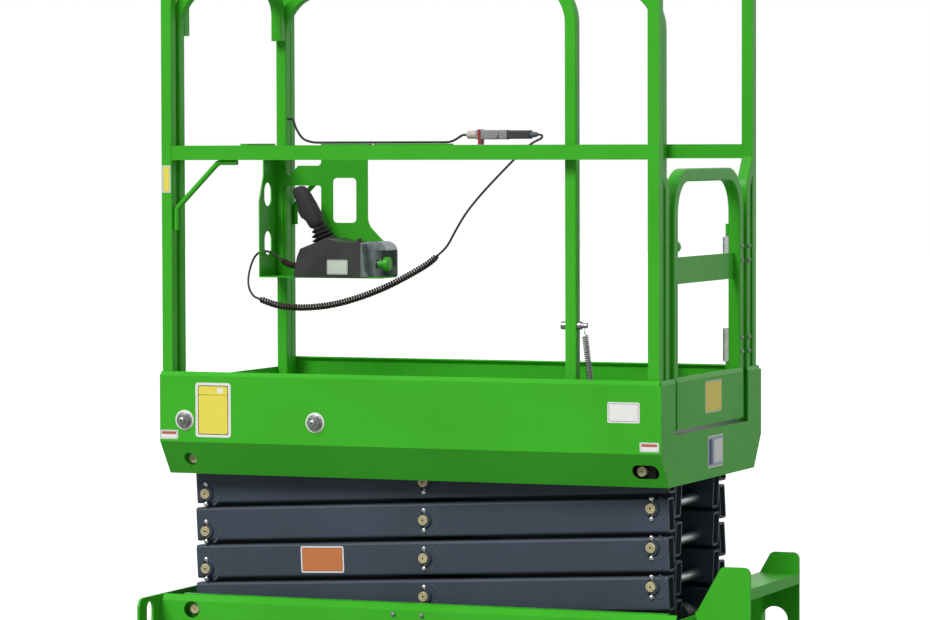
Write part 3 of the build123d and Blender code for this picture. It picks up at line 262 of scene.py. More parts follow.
def tread_plate(base):
    """Deck sheet with rows of crossed raised bars."""
    n = Nodes("tread_plate")
    bars = None
    for turn in (math.radians(45), math.radians(-45)):
        mapping = n.add("ShaderNodeMapping")
        mapping.inputs["Rotation"].default_value = (0, 0, turn)
        n.link(n.place, mapping.inputs["Vector"])
        brick = n.add("ShaderNodeTexBrick", Scale=1.0, offset=0.5)
        brick.inputs["Brick Width"].default_value = 0.056
        brick.inputs["Row Height"].default_value = 0.028
        brick.inputs["Mortar Size"].default_value = 0.0105
        brick.inputs["Mortar Smooth"].default_value = 0.35
        n.link(mapping.outputs["Vector"], brick.inputs["Vector"])
        low = n.maths("SUBTRACT", 1.0, brick.outputs["Fac"])
        bars = low if bars is None else n.maths("MULTIPLY", bars, low)
    dust = n.noise(9.0, 5.0, 0.6)
    worn = n.mix(bars, base, tuple(c * 1.7 + 0.02 for c in base))
    n.colour(n.mix(n.between(dust, 0.0, 0.35), worn, (0.16, 0.15, 0.13)))
    n.rough(n.between(dust, 0.4, 0.62))
    n.bump(bars, 0.0012, 0.8)
    return n.material


def gate_bolt_metal(green):
    """Painted ball knob, bright bolt."""
    n = Nodes("gate_bolt_metal")
    knob = n.maths("GREATER_THAN", n.axis("Y"), gate_low.y + KNOB_FROM_EDGE)
    grain = n.noise(200.0, 3.0, 0.5)
    pale = tuple(c * 1.15 for c in green)
    n.colour(n.mix(knob, (0.5, 0.5, 0.5), n.ramp(grain, [(0.3, green), (0.7, pale)])))
    n.link(n.maths("SUBTRACT", 1.0, knob), n.shader.inputs["Metallic"])
    n.rough(n.between(grain, 0.28, 0.4))
    return n.material


def bands_along_x(name, bands, rough, dull=0.75):
    """Plain colours side by side along X; a band is (start, colour), from low X to high X."""
    n = Nodes(name)
    grain = n.noise(420.0, 3.0, 0.5)
    tone = bands[0][1]
    for start, base in bands[1:]:
        tone = n.mix(n.maths("GREATER_THAN", n.axis("X"), start), tone, base)
    shade = n.ramp(grain, [(0.3, (dull, dull, dull)), (0.7, (1.0, 1.0, 1.0))])
    product = n.add("ShaderNodeMix", data_type="RGBA", blend_type="MULTIPLY")
    product.inputs["Factor"].default_value = 1.0
    coloured = [k for k in product.inputs if k.type == "RGBA"]
    n.link(tone, coloured[0])
    n.link(shade, coloured[1])
    n.colour([k for k in product.outputs if k.type == "RGBA"][0])
    n.rough(n.between(grain, rough - 0.05, rough + 0.08))
    n.bump(grain, 0.0001, 0.5)
    return n.material


def box_plastic(green):
    """Black control box with a bare metal guard and a green stop button at its end."""
    n = Nodes("box_plastic")
    along = n.axis("X")
    grain = n.noise(900.0, 3.0, 0.5)
    dust = n.noise(14.0, 5.0, 0.65)
    black = n.ramp(dust, [(0.42, (0.040, 0.038, 0.041)), (0.72, (0.068, 0.065, 0.069))])
    guard = n.maths("GREATER_THAN", along, box_high.x - BOX_GUARD)
    rise = n.maths("SUBTRACT", n.axis("Z"), box_low.z + BUTTON_UP)
    side = n.maths("SUBTRACT", n.axis("Y"), box_low.y + BUTTON_IN)
    squares = n.maths("ADD", n.maths("MULTIPLY", rise, rise), n.maths("MULTIPLY", side, side))
    near_axis = n.maths("LESS_THAN", n.maths("SQRT", squares), BUTTON_R)
    button = n.maths("MULTIPLY", near_axis, n.maths("GREATER_THAN", along, box_high.x - BUTTON_LEN))
    metal = n.ramp(n.noise(60.0, 4.0, 0.6), [(0.3, (0.24, 0.27, 0.29)), (0.7, (0.42, 0.46, 0.48))])
    n.colour(n.mix(button, n.mix(guard, black, metal), green))
    n.link(n.maths("SUBTRACT", guard, button), n.shader.inputs["Metallic"])
    n.rough(n.between(grain, 0.34, 0.5))
    n.bump(grain, 0.00018, 0.6)
    return n.material


HEAD_REACH = 190 * MM       # from the stack's middle to where the yellow zinc begins
KNOB_FROM_EDGE = 20 * MM    # from the gate's near edge to where the latch's paint begins
BOX_GUARD = 55 * MM         # length of the control box's rear end finished as bare metal
BUTTON_UP = 30 * MM         # stop button's axis above the box's floor
BUTTON_IN = 46 * MM         # and behind its near side
BUTTON_R = 17.6 * MM
BUTTON_LEN = 27 * MM
SOCKET_SEAL = 25 * MM       # pale band at the socket's front end
PLUG_BOOT = 16 * MM         # tapered boot at the plug's rear end
GREEN = (0.043, 0.412, 0.016)
SLATE = (0.046, 0.061, 0.084)
green_paint = powder_coat("green_paint", GREEN, 0.05, 0.36)
slate_paint = powder_coat("slate_paint", SLATE, 0.10, 0.38)
axle_paint = powder_coat("axle_paint", (0.07, 0.075, 0.08), 0.12, 0.45)
bright_steel = plated("bright_steel", (0.50, 0.50, 0.50), 0.36, (1.0, 8.0, 1.0))
spring_steel = plated("spring_steel", (0.36, 0.36, 0.37), 0.42, (1.0, 1.0, 6.0))
hard_chrome = plated("hard_chrome", (0.78, 0.79, 0.82), 0.14, (0.2, 4.0, 0.2))
tyre_rubber = moulded("tyre_rubber", (0.022, 0.022, 0.023), 0.72, 260.0, 0.0004)
dark_plastic = moulded("dark_plastic", (0.040, 0.038, 0.042), 0.52, 900.0, 0.00018)
grip_rubber = moulded("grip_rubber", (0.030, 0.026, 0.030), 0.66, 1200.0, 0.00022)
battery_case = moulded("battery_case", (0.035, 0.036, 0.04), 0.55, 500.0, 0.0003)
slider_nylon = moulded("slider_nylon", (0.018, 0.018, 0.019), 0.5, 300.0, 0.0002)
tie_band = moulded("tie_band", (0.30, 0.025, 0.03), 0.45, 600.0, 0.0001)
pin_finish = pin_metal()
deck_plate = tread_plate((0.055, 0.062, 0.066))
gate_bolt = gate_bolt_metal(GREEN)
control_box_finish = box_plastic(GREEN)
seal_end = span("rail_socket")[0].x + SOCKET_SEAL
boot_start = span("cord_plug")[1].x - PLUG_BOOT
socket_finish = bands_along_x(
    "socket_plastic", [(0.0, (0.72, 0.60, 0.60)), (seal_end, (0.37, 0.35, 0.37))], 0.42,
)
plug_finish = bands_along_x(
    "plug_plastic", [(0.0, (0.060, 0.050, 0.062)), (boot_start, (0.11, 0.13, 0.17))], 0.5,
)

SLOT_FINISH = {
    "green": green_paint,
    "arm_grey": slate_paint,
    "zinc": pin_finish,
    "chrome": hard_chrome,
    "tyre": tyre_rubber,
    "rim_grey": axle_paint,
    "black_plastic": grip_rubber,
    "grey_plastic": dark_plastic,
    "nylon": slider_nylon,
    "tie_red": tie_band,
    "steel": bright_steel,
    "deck": deck_plate,
    "battery": battery_case,
    "cord_black": grip_rubber,
}
NODE_FINISH = {
    "gate_latch": gate_bolt,
    "gate_hinges": bright_steel,
    "control_box": control_box_finish,
    "rail_socket": socket_finish,
    "cord_plug": plug_finish,
}
slot_of = {part["node"]: part["material_slot"] for part in frame["record"]["subparts"]}
for node_name, node_object in frame["nodes"].items():
    node_object.data.materials.clear()
    finish = NODE_FINISH.get(node_name) or SLOT_FINISH[slot_of[node_name]]
    node_object.data.materials.append(finish)


# ================================================================ mesh helpers
def facing(place, normal, up=Z_AXIS):
    """A matrix that puts local Z along a normal and local Y upwards."""
    normal = Vector(normal).normalized()
    side = up.cross(normal)
    side = X_AXIS.copy() if side.length < 1e-6 else side.normalized()
    upward = normal.cross(side)
    turn = Matrix((side, upward, normal)).transposed().to_4x4()
    return Matrix.Translation(place) @ turn


def add_ring(bm, profile, sides, matrix, material=0):
    """A body of revolution about local Z; the profile is a list of (radius, height)."""
    rows = []
    for radius, height in profile:
        if radius < 1e-7:
            rows.append([bm.verts.new(matrix @ Vector((0, 0, height)))])
            continue
        row = []
        for i in range(sides):
            angle = 2 * math.pi * i / sides
            spot = Vector((radius * math.cos(angle), radius * math.sin(angle), height))
            row.append(bm.verts.new(matrix @ spot))
        rows.append(row)
    faces = []
    for a, b in zip(rows, rows[1:]):
        for i in range(sides):
            j = (i + 1) % sides
            loop = [a[i % len(a)], a[j % len(a)], b[j % len(b)], b[i % len(b)]]
            unique = []
            for vert in loop:
                if vert not in unique:
                    unique.append(vert)
            if len(unique) > 2:
                faces.append(bm.faces.new(unique))
    for face in faces:
        face.material_index = material
        face.smooth = True
    return faces


def add_slab(bm, outline, z0, z1, matrix, material=0, chamfer=0.0):
    """A flat plate from an outline of (x, y) points, with a small chamfer at its top."""
    centre = Vector((sum(p[0] for p in outline), sum(p[1] for p in outline))) / len(outline)
    layers = [(z0, 0.0), (z1 - chamfer, 0.0), (z1, chamfer)] if chamfer else [(z0, 0.0), (z1, 0.0)]
    rows = []
    for z, shrink in layers:
        row = []
        for x, y in outline:
            towards = centre - Vector((x, y))
            step = towards.normalized() * shrink
            row.append(bm.verts.new(matrix @ Vector((x + step.x, y + step.y, z))))
        rows.append(row)
    count = len(outline)
    faces = [bm.faces.new(rows[-1]), bm.faces.new(rows[0][::-1])]
    for a, b in zip(rows, rows[1:]):
        for i in range(count):
            j = (i + 1) % count
            faces.append(bm.faces.new((a[i], a[j], b[j], b[i])))
    for face in faces:
        face.material_index = material


def rounded(width, height, radius, steps=6):
    """Points of a rounded rectangle about the origin."""
    points = []
    for sx, sy, start in ((1, 1, 0), (-1, 1, 90), (-1, -1, 180), (1, -1, 270)):
        cx = sx * (width / 2 - radius)
        cy = sy * (height / 2 - radius)
        for i in range(steps + 1):
            angle = math.radians(start + 90 * i / steps)
            points.append((cx + radius * math.cos(angle), cy + radius * math.sin(angle)))
    return points


def placed(name, data):
    """A new object with this data, in the scene."""
    obj = bpy.data.objects.new(name, data)
    bpy.context.scene.collection.objects.link(obj)
    return obj


def piece(name, bm, materials, body, bevel=0.0):
    """A finished object from a bmesh, riding on its body."""
    mesh = bpy.data.meshes.new(name)
    bmesh.ops.recalc_face_normals(bm, faces=bm.faces)
    bm.to_mesh(mesh)
    bm.free()
    obj = placed(name, mesh)
    for material in materials:
        mesh.materials.append(material)
    if bevel:
        modifier = obj.modifiers.new("edge", "BEVEL")
        modifier.width = bevel
        modifier.segments = 2
        modifier.limit_method = "ANGLE"
    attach(obj, body)
    return obj


def sweep_line(bm, points, radius, sides):
    """A round tube along a list of points, closed at both ends."""
    frames = []
    normal = None
    for i, point in enumerate(points):
        ahead = points[min(i + 1, len(points) - 1)] - points[max(i - 1, 0)]
        ahead.normalize()
        if normal is None:
            normal = ahead.orthogonal().normalized()
        normal = (normal - ahead * normal.dot(ahead)).normalized()
        frames.append((point, normal, ahead.cross(normal)))
    rows = []
    for point, u, v in frames:
        row = []
        for i in range(sides):
            angle = 2 * math.pi * i / sides
            row.append(bm.verts.new(point + (u * math.cos(angle) + v * math.sin(angle)) * radius))
        rows.append(row)
    for a, b in zip(rows, rows[1:]):
        for i in range(sides):
            j = (i + 1) % sides
            bm.faces.new((a[i], a[j], b[j], b[i])).smooth = True
    for row in (rows[0][::-1], rows[-1]):
        bm.faces.new(row)


def hex_head(bm, matrix, radius, height):
    """A hexagon head with its chamfered crown."""
    crown = [(radius, 0), (radius, height * 0.8), (radius * 0.84, height), (0, height)]
    for face in add_ring(bm, crown, 6, matrix):
        face.smooth = False


# ================================================================ blank plates and labels
WHITE = (0.82, 0.82, 0.80)
YELLOW = (0.83, 0.72, 0.10)
ORANGE = (0.56, 0.19, 0.065)
RED = (0.50, 0.12, 0.085)
BLUE_GREY = (0.40, 0.50, 0.60)
NAVY = (0.05, 0.07, 0.22)
INK = (0.03, 0.03, 0.03)


def vinyl(name, base):
    """Printed film with a faint grain."""
    n = Nodes(name)
    grain = n.noise(300.0, 2.0, 0.5)
    n.colour(n.ramp(grain, [(0.3, tuple(c * 0.93 for c in base)), (0.7, base)]))
    n.rough(n.between(grain, 0.28, 0.36))
    n.set(Specular_IOR_Level=0.25)
    return n.material


film = {name: vinyl("film_" + name, value) for name, value in (
    ("white", WHITE), ("yellow", YELLOW), ("orange", ORANGE), ("red", RED),
    ("blue", BLUE_GREY), ("navy", NAVY), ("ink", INK),
)}


def label(name, body, place, normal, size, field, bands=(), border=3 * MM, slope=0.0):
    """A blank stuck-on label: white rim, thin ink line, plain field and plain colour bands.

    A band is (film, left, right, bottom, top) in shares of the field."""
    width, height = size
    matrix = facing(place, normal) @ Matrix.Rotation(slope, 4, "Z")
    bm = bmesh.new()
    line_w, line_h = width - 2 * border, height - 2 * border
    rim = border * 0.28
    field_w, field_h = line_w - 2 * rim, line_h - 2 * rim
    add_slab(bm, rounded(width, height, min(width, height) * 0.08), -0.1 * MM, 0.35 * MM, matrix, 0)
    add_slab(bm, rounded(line_w, line_h, border * 0.6), 0.3 * MM, 0.42 * MM, matrix, 1)
    add_slab(bm, rounded(field_w, field_h, border * 0.5), 0.35 * MM, 0.5 * MM, matrix, 2)
    names = ["white", "ink", field]
    for band, left, right, low, high in bands:
        names.append(band)
        at = matrix @ Matrix.Translation((
            ((left + right) / 2 - 0.5) * field_w, ((low + high) / 2 - 0.5) * field_h, 0,
        ))
        outline = rounded((right - left) * field_w, (high - low) * field_h, 0.4 * MM)
        add_slab(bm, outline, 0.45 * MM, 0.58 * MM, at, len(names) - 1)
    return piece(name, bm, [film[n] for n in names], body)


near_face = wall_low.y
end_face = wall_high.x
label(
    "label_hand_side", "platform",
    Vector((wall_low.x + 131 * MM, near_face, crease_z - 75 * MM)), NEAR, (86 * MM, 121 * MM), "yellow",
    [("ink", 0.0, 1.0, 0.815, 0.823), ("white", 0.64, 0.84, 0.86, 0.96)], 6 * MM,
)
label(
    "label_white", "platform",
    Vector((wall_high.x - 84 * MM, near_face, crease_z - 59 * MM)), NEAR, (73 * MM, 44 * MM), "white",
)
for word, x in (("left", wall_low.x + 23 * MM), ("right", wall_high.x - 26 * MM)):
    label(
        "label_strip_" + word, "platform",
        Vector((x, near_face, crease_z - 131.5 * MM)), NEAR, (43 * MM, 20 * MM), "white",
        [("red", 0.04, 0.96, 0.56, 0.94)], 1.8 * MM,
    )
label(
    "label_end_wall", "platform",
    Vector((end_face, 18 * MM, crease_z - 164 * MM)), X_AXIS, (104 * MM, 70 * MM), "blue",
    [("navy", 0.02, 0.28, 0.05, 0.95), ("white", 0.42, 0.97, 0.10, 0.90)], 3 * MM,
)
label(
    "label_gate", "gate",
    Vector((gate_high.x, 15 * MM, crease_z - 43 * MM)), X_AXIS, (112 * MM, 70 * MM), "yellow",
    border=2 * MM,
)
label(
    "label_post", "platform",
    Vector((rail_low.x + 13 * MM, rail_low.y, crease_z + 436 * MM)), NEAR, (20 * MM, 60 * MM), "yellow",
    border=2.4 * MM,
)
label(
    "label_box", "extension",
    Vector((box_low.x + 112 * MM, box_low.y, box_low.z + 23 * MM)), NEAR, (52 * MM, 34 * MM), "white",
    border=2 * MM,
)


# ================================================================ fasteners
WASHER = 1.1 * MM           # thickness of a bolt's white washer
COLLAR = 3.0 * MM           # height of the metal collar over it


def bolts(name, body, places, normal, radius, height, washer=0.0):
    """A group of hexagon heads, one object for the group; washer is the radius of a white one, or 0."""
    bm = bmesh.new()
    for place in places:
        matrix = facing(place, normal)
        if washer:
            disc = [(radius * 0.9, 0), (washer, 0), (washer, 0.7 * MM), (washer * 0.96, WASHER), (0, WASHER)]
            add_ring(bm, disc, 32, matrix, 1)
            wide, narrow = radius * 1.2, radius * 1.12
            add_ring(bm, [(wide, 1.0 * MM), (wide, 2.6 * MM), (narrow, COLLAR), (0, COLLAR)], 24, matrix, 0)
            matrix = matrix @ Matrix.Translation((0, 0, COLLAR))
        hex_head(bm, matrix, radius, height)
        top, shank = height * 1.6, radius * 0.5
        stud = [(shank, height), (shank, height * 1.45), (radius * 0.38, top), (0, top)]
        add_ring(bm, stud, 16, matrix, 0)
        # black ink disc on the stud's tip: painted shade of a centre dimple
        dimple_shade = [(radius * 0.14, height * 1.605), (0, height * 1.605)]
        add_ring(bm, dimple_shade, 12, matrix, 2)
    ring = film["white"] if washer else bright_steel
    piece(name, bm, [bright_steel, ring, film["ink"]], body)


# Wall bolts by their run from the wall's front end and their drop below its crease.
WALL_BOLTS = ((61 * MM, 98.5 * MM), (378 * MM, 97.5 * MM))
CHASSIS_BOLT_RUNS = (565 * MM, 632 * MM)
CHASSIS_BOLT_DROP = 22 * MM
bolts(
    "wall_bolts", "platform",
    [Vector((wall_low.x + run, near_face, crease_z - drop)) for run, drop in WALL_BOLTS],
    NEAR, 15.5 * MM, 10 * MM, 22.5 * MM,
)
bolts(
    "chassis_bolts", "chassis",
    [Vector((tray_low.x + run, tray_low.y, tray_high.z - CHASSIS_BOLT_DROP)) for run in CHASSIS_BOLT_RUNS],
    NEAR, 5.5 * MM, 3.5 * MM,
)


hinge_low, hinge_high = span("gate_hinges")
HINGE_LEN = 98 * MM
HINGE_SHIFT = 17 * MM       # bolts' middle, from each hinge's middle towards the other hinge
BOLT_HALF_PITCH = 16 * MM
GATE_BOLT_BACK = 5 * MM     # foot of the gate's bolts, in from the gate's outermost face
hinge_rows = (hinge_low.z + HINGE_LEN / 2 + HINGE_SHIFT, hinge_high.z - HINGE_LEN / 2 - HINGE_SHIFT)
bolt_heights = [z + dz for z in hinge_rows for dz in (-BOLT_HALF_PITCH, BOLT_HALF_PITCH)]
# name, body, where the heads start along X, their place along Y
for name, body, face_x, y in (
    ("gate_bolts", "gate", gate_high.x - GATE_BOLT_BACK, 227 * MM),
    ("jamb_bolts", "platform", rail_high.x, 274 * MM),
):
    rows = [Vector((face_x, y, z)) for z in bolt_heights]
    bolts(name, body, rows, X_AXIS, 5.5 * MM, 4 * MM)


def hinge_leaves():
    """Bright leaves of the gate's hinges, seen past the inner side of the gate's tube."""
    width, length, half = 14 * MM, 76 * MM, 1.5 * MM
    rib_width, rib_length = 3 * MM, 70 * MM
    bm = bmesh.new()
    for z in hinge_rows:
        at = facing(Vector((hinge_low.x + 14 * MM, hinge_low.y - 32 * MM, z)), NEAR)
        add_slab(bm, rounded(width, length, 2 * MM, 4), -half, half, at, 0, 0.4 * MM)
        rib = at @ Matrix.Translation((-4.5 * MM, 0, 1.4 * MM))
        add_slab(bm, rounded(rib_width, rib_length, 1.2 * MM, 4), -0.2 * MM, 0.8 * MM, rib, 1)
    piece("hinge_leaves", bm, [leaf_zinc, bright_steel], "gate")


leaf_zinc = plated("leaf_zinc", (0.80, 0.80, 0.80), 0.5, (1.0, 1.0, 5.0))
hinge_leaves()


def add_arc(bm, inner, outer, z0, z1, start, stop, matrix, material=0, steps=14):
    """A flat bar bent round local Z between two angles."""
    rows = []
    for i in range(steps + 1):
        angle = start + (stop - start) * i / steps
        turn = Vector((math.cos(angle), math.sin(angle), 0))
        rows.append([
            bm.verts.new(matrix @ (turn * radius + Z_AXIS * z))
            for radius, z in ((inner, z0), (outer, z0), (outer, z1), (inner, z1))
        ])
    for a, b in zip(rows, rows[1:]):
        for i in range(4):
            j = (i + 1) % 4
            bm.faces.new((a[i], a[j], b[j], b[i])).material_index = material
    bm.faces.new(rows[0][::-1]).material_index = material
    bm.faces.new(rows[-1]).material_index = material


def pin_keeper(bm, place, normal):
    """One pin's end: a split collar with painted shade on its slots' floors, a clip with screws, a
    painted-shade ring and dot on its face, and a bead of small blobs.
    """
    matrix = facing(place, normal)
    bore, collar, slot_half = 12.8 * MM, 16.6 * MM, math.radians(13)
    for start in (math.pi / 2 + slot_half, -math.pi / 2 + slot_half):
        stop = start + math.pi - 2 * slot_half
        add_arc(bm, bore, collar, -0.2 * MM, 3.2 * MM, start, stop, matrix, 0)
    dome = [(r * MM, z * MM) for r, z in ((5.8, 0), (5.8, 1.8), (4.9, 3.4), (2.8, 4.4), (0, 4.7))]
    for way, reach in ((1, 21.0 * MM), (-1, 23.0 * MM)):
        # black ink sheet on the floor of each collar slot: painted shade in the slot
        slot_shade = matrix @ Matrix.Translation((-0.6 * MM, way * 14.6 * MM, 0))
        add_slab(bm, rounded(4.6 * MM, 7.0 * MM, 1.5 * MM, 3), -0.2 * MM, 0.5 * MM, slot_shade, 1)
        clip = matrix @ Matrix.Translation((3.2 * MM, way * 16.0 * MM, 0))
        add_slab(bm, rounded(2.2 * MM, 9.0 * MM, 1.0 * MM, 3), -2.6 * MM, 1.6 * MM, clip, 2, 0.4 * MM)
        head = matrix @ Matrix.Translation((0.4 * MM, way * reach, -2.7 * MM))
        add_ring(bm, dome, 16, head, 2)
    face = matrix @ Matrix.Translation((0, 0, 5.0 * MM))
    # dark zinc ring and black ink dot on the pin's face: painted shade of a groove and of a centre hole
    add_arc(bm, 6.6 * MM, 7.3 * MM, -0.1 * MM, 0.12 * MM, 0, 2 * math.pi, face, 3, 28)
    add_ring(bm, [(1.9 * MM, -0.1 * MM), (1.9 * MM, 0.15 * MM), (0, 0.15 * MM)], 12, face, 1)
    bead_r, bead_shift, bead_half, blobs = 27 * MM, 7 * MM, 62, 13
    blob = [(3.4 * MM, 0), (2.6 * MM, 0.9 * MM), (0, 1.4 * MM)]
    for i in range(blobs):
        angle = math.radians(-bead_half + 2 * bead_half * i / (blobs - 1))
        spot = (bead_shift + bead_r * math.cos(angle), bead_r * math.sin(angle), -2.9 * MM)
        add_ring(bm, blob, 10, matrix @ Matrix.Translation(spot), 0)


# darker zinc for the ring on the pins' faces: painted groove shade
groove_shade_zinc = plated("groove_shade_zinc", (0.30, 0.24, 0.11), 0.5, (1.0, 1.0, 1.0))
keeper_chrome = plated("keeper_chrome", (0.86, 0.86, 0.88), 0.2, (1.0, 4.0, 1.0))
outer_low, outer_high = span("arm_outer_1")
for level in range(1, LEVELS + 1):
    low_z = foot_node.z + (level - 1) * level_rise
    ends = ((head_node.x, low_z), (arm_middle, low_z + level_rise / 2), (foot_node.x, low_z + level_rise))
    bm = bmesh.new()
    for y, normal in ((outer_low.y, NEAR), (outer_high.y, Y_AXIS)):
        for x, z in ends:
            if (level == 1 and x == head_node.x) or (level == LEVELS and x == foot_node.x):
                continue
            pin_keeper(bm, Vector((x, y, z)), normal)
    finishes = [slate_paint, film["ink"], keeper_chrome, groove_shade_zinc]
    piece(f"pin_keepers_{level}", bm, finishes, f"outer_{level}")

STICKER_X = -305 * MM
STICKER_TURN = 0.45         # the label's turn, as a share of the arm's slope
STICKER_IN = 2.7 * MM       # the label's plane, in from the outer arms' outermost point
arm_run = foot_node.x - head_node.x
sticker_z = foot_node.z + level_rise * (1 + (STICKER_X - head_node.x) / arm_run)
label(
    "label_arm", "outer_2",
    Vector((STICKER_X, outer_low.y + STICKER_IN, sticker_z + 8 * MM)), NEAR, (104 * MM, 59 * MM), "orange",
    slope=math.atan2(level_rise, arm_run) * STICKER_TURN,
)


# ================================================================ drive lever
LEVER_X = 57 * MM           # foot of the lever from the control box's front end
LEVER_Z = 84 * MM           # and above its floor
LEVER_LEAN = math.radians(25)


def drive_lever():
    """Grip with its thumb swell and trigger, on a flared rubber bellows."""
    foot = Vector((box_low.x + LEVER_X, (box_low.y + box_high.y) / 2, box_low.z + LEVER_Z))
    lean = Matrix.Translation(foot) @ Matrix.Rotation(-LEVER_LEAN, 4, "Y")
    bm = bmesh.new()
    # radius, height, in mm
    boot = [
        (30, -10), (30, -3), (27, 0), (16, 2), (26, 6), (27, 8), (15, 12), (23.5, 16), (24.5, 18), (13, 22),
        (19, 27), (19.5, 29), (12, 33), (12, 40),
    ]
    add_ring(bm, [(r * MM, z * MM) for r, z in boot], 32, lean, 0)
    # height, width along the lean, width across, shift along the lean, in mm
    sections = [
        (34, 22, 24, 0), (38, 32, 32, 0), (44, 37, 36, -0.5), (66, 40, 38, -1.5), (92, 39, 37, -3),
        (114, 37, 36, -5), (128, 35, 34, -7), (136, 30, 29, -8.5), (140, 20, 20, -9.5), (141.5, 8, 8, -10),
    ]
    rows = []
    for height, wide, deep, shift in sections:
        outline = rounded(wide * MM, deep * MM, min(wide, deep) * 0.36 * MM, 6)
        rows.append([bm.verts.new(lean @ Vector((x + shift * MM, y, height * MM))) for x, y in outline])
    for a, b in zip(rows, rows[1:]):
        for i in range(len(a)):
            j = (i + 1) % len(a)
            bm.faces.new((a[i], a[j], b[j], b[i])).smooth = True
    bm.faces.new(rows[0][::-1])
    bm.faces.new(rows[-1])
    upright = Matrix.Rotation(math.radians(90), 4, "X")
    trigger = lean @ Matrix.Translation((-21 * MM, 8 * MM, 84 * MM)) @ upright
    profile = [(6, 22), (-3, 19), (-9, 4), (-8, -12), (0, -24), (8, -30)]
    add_slab(bm, [(x * MM, y * MM) for x, y in reversed(profile)], 0, 16 * MM, trigger, 0, 1 * MM)
    lever = piece("drive_lever", bm, [grip_rubber], "extension", 0.6 * MM)
    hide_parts("joystick")


drive_lever()


# ================================================================ tension spring of the foot latch
def tension_spring():
    """Coil with a hook at each end, leaning from the cross bolt to the foot latch."""
    low, high = span("lock_spring")
    centre = (low + high) / 2
    wire = 1.2 * MM
    radius = (high.x - low.x) / 2 - wire
    head = Vector((centre.x - 1 * MM, centre.y, high.z - 0.5 * MM))
    foot = Vector((centre.x + 17 * MM, centre.y, low.z + 0.5 * MM))
    reach = head - foot
    axis = reach.normalized()
    side = Y_AXIS.copy()
    across = axis.cross(side)
    hook = 15 * MM
    turns = 30
    per_turn = 16
    steps = turns * per_turn
    points = [foot, foot + axis * (hook - 5 * MM)]
    for i in range(steps + 1):
        angle = 2 * math.pi * i / per_turn
        at = foot + axis * (hook + (reach.length - 2 * hook) * i / steps)
        points.append(at + side * (radius * math.cos(angle)) + across * (radius * math.sin(angle)))
    points += [head - axis * (hook - 5 * MM), head]
    bm = bmesh.new()
    sweep_line(bm, points, wire, 8)
    spring = piece("latch_spring", bm, [spring_steel], "extension")
    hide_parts("lock_spring")


tension_spring()


# ================================================================ control cord
# The route's points, in metres, are the control points of one smooth spline.
CORD_D = 5.5 * MM
CURL_RADIUS = 5.75 * MM
CURL_PITCH = 6.3 * MM
CURL_ONE = [(-0.5628, 0.2174, 1.1023), (-0.588, 0.2174, 1.1023), (-0.612, 0.217, 1.118)]
LEAD_ONE = [
    (-0.634, 0.2166, 1.1324), (-0.654, 0.213, 1.1375), (-0.666, 0.193, 1.129), (-0.6685, 0.171, 1.104),
    (-0.6685, 0.156, 1.076), (-0.664, 0.149, 1.05), (-0.652, 0.15, 1.0315), (-0.64, 0.152, 1.027),
]
CURL_TWO = [
    (-0.592, 0.16, 1.009), (-0.535, 0.17, 1.005), (-0.465, 0.182, 1.012), (-0.398, 0.193, 1.031),
    (-0.335, 0.204, 1.056), (-0.276, 0.214, 1.087), (-0.236, 0.2205, 1.111), (-0.215, 0.224, 1.13),
]
LEAD_TWO = [
    (-0.194, 0.2275, 1.149), (-0.176, 0.2305, 1.184), (-0.15, 0.235, 1.228), (-0.112, 0.242, 1.274),
    (-0.068, 0.249, 1.32), (-0.028, 0.257, 1.361), (0.002, 0.264, 1.389), (0.024, 0.275, 1.399),
    (0.02, 0.284, 1.4076), (0.008, 0.284, 1.4076),
]


def spline_points(points, name):
    """The smooth line of a NURBS spline with these control points."""
    curve = bpy.data.curves.new(name, "CURVE")
    curve.dimensions = "3D"
    curve.resolution_u = 24
    spline = curve.splines.new("NURBS")
    spline.points.add(len(points) - 1)
    for knot, point in zip(spline.points, points):
        knot.co = (*point, 1)
    spline.order_u = 3
    spline.use_endpoint_u = True
    carrier = bpy.data.objects.new(name, curve)
    mesh = bpy.data.meshes.new_from_object(carrier)
    line = [v.co.copy() for v in mesh.vertices]
    bpy.data.objects.remove(carrier)
    bpy.data.meshes.remove(mesh)
    return line


def nearest_run(line, runs, point):
    """Distance along the line of its nearest point to a place."""
    return min(zip(line, runs), key=lambda pair: (pair[0] - Vector(point)).length)[1]


def along(line, runs, at, index):
    """Point at a distance along the line, walking on from an index."""
    while index < len(runs) - 2 and runs[index + 1] < at:
        index += 1
    share = (at - runs[index]) / max(runs[index + 1] - runs[index], 1e-9)
    return line[index].lerp(line[index + 1], share), index


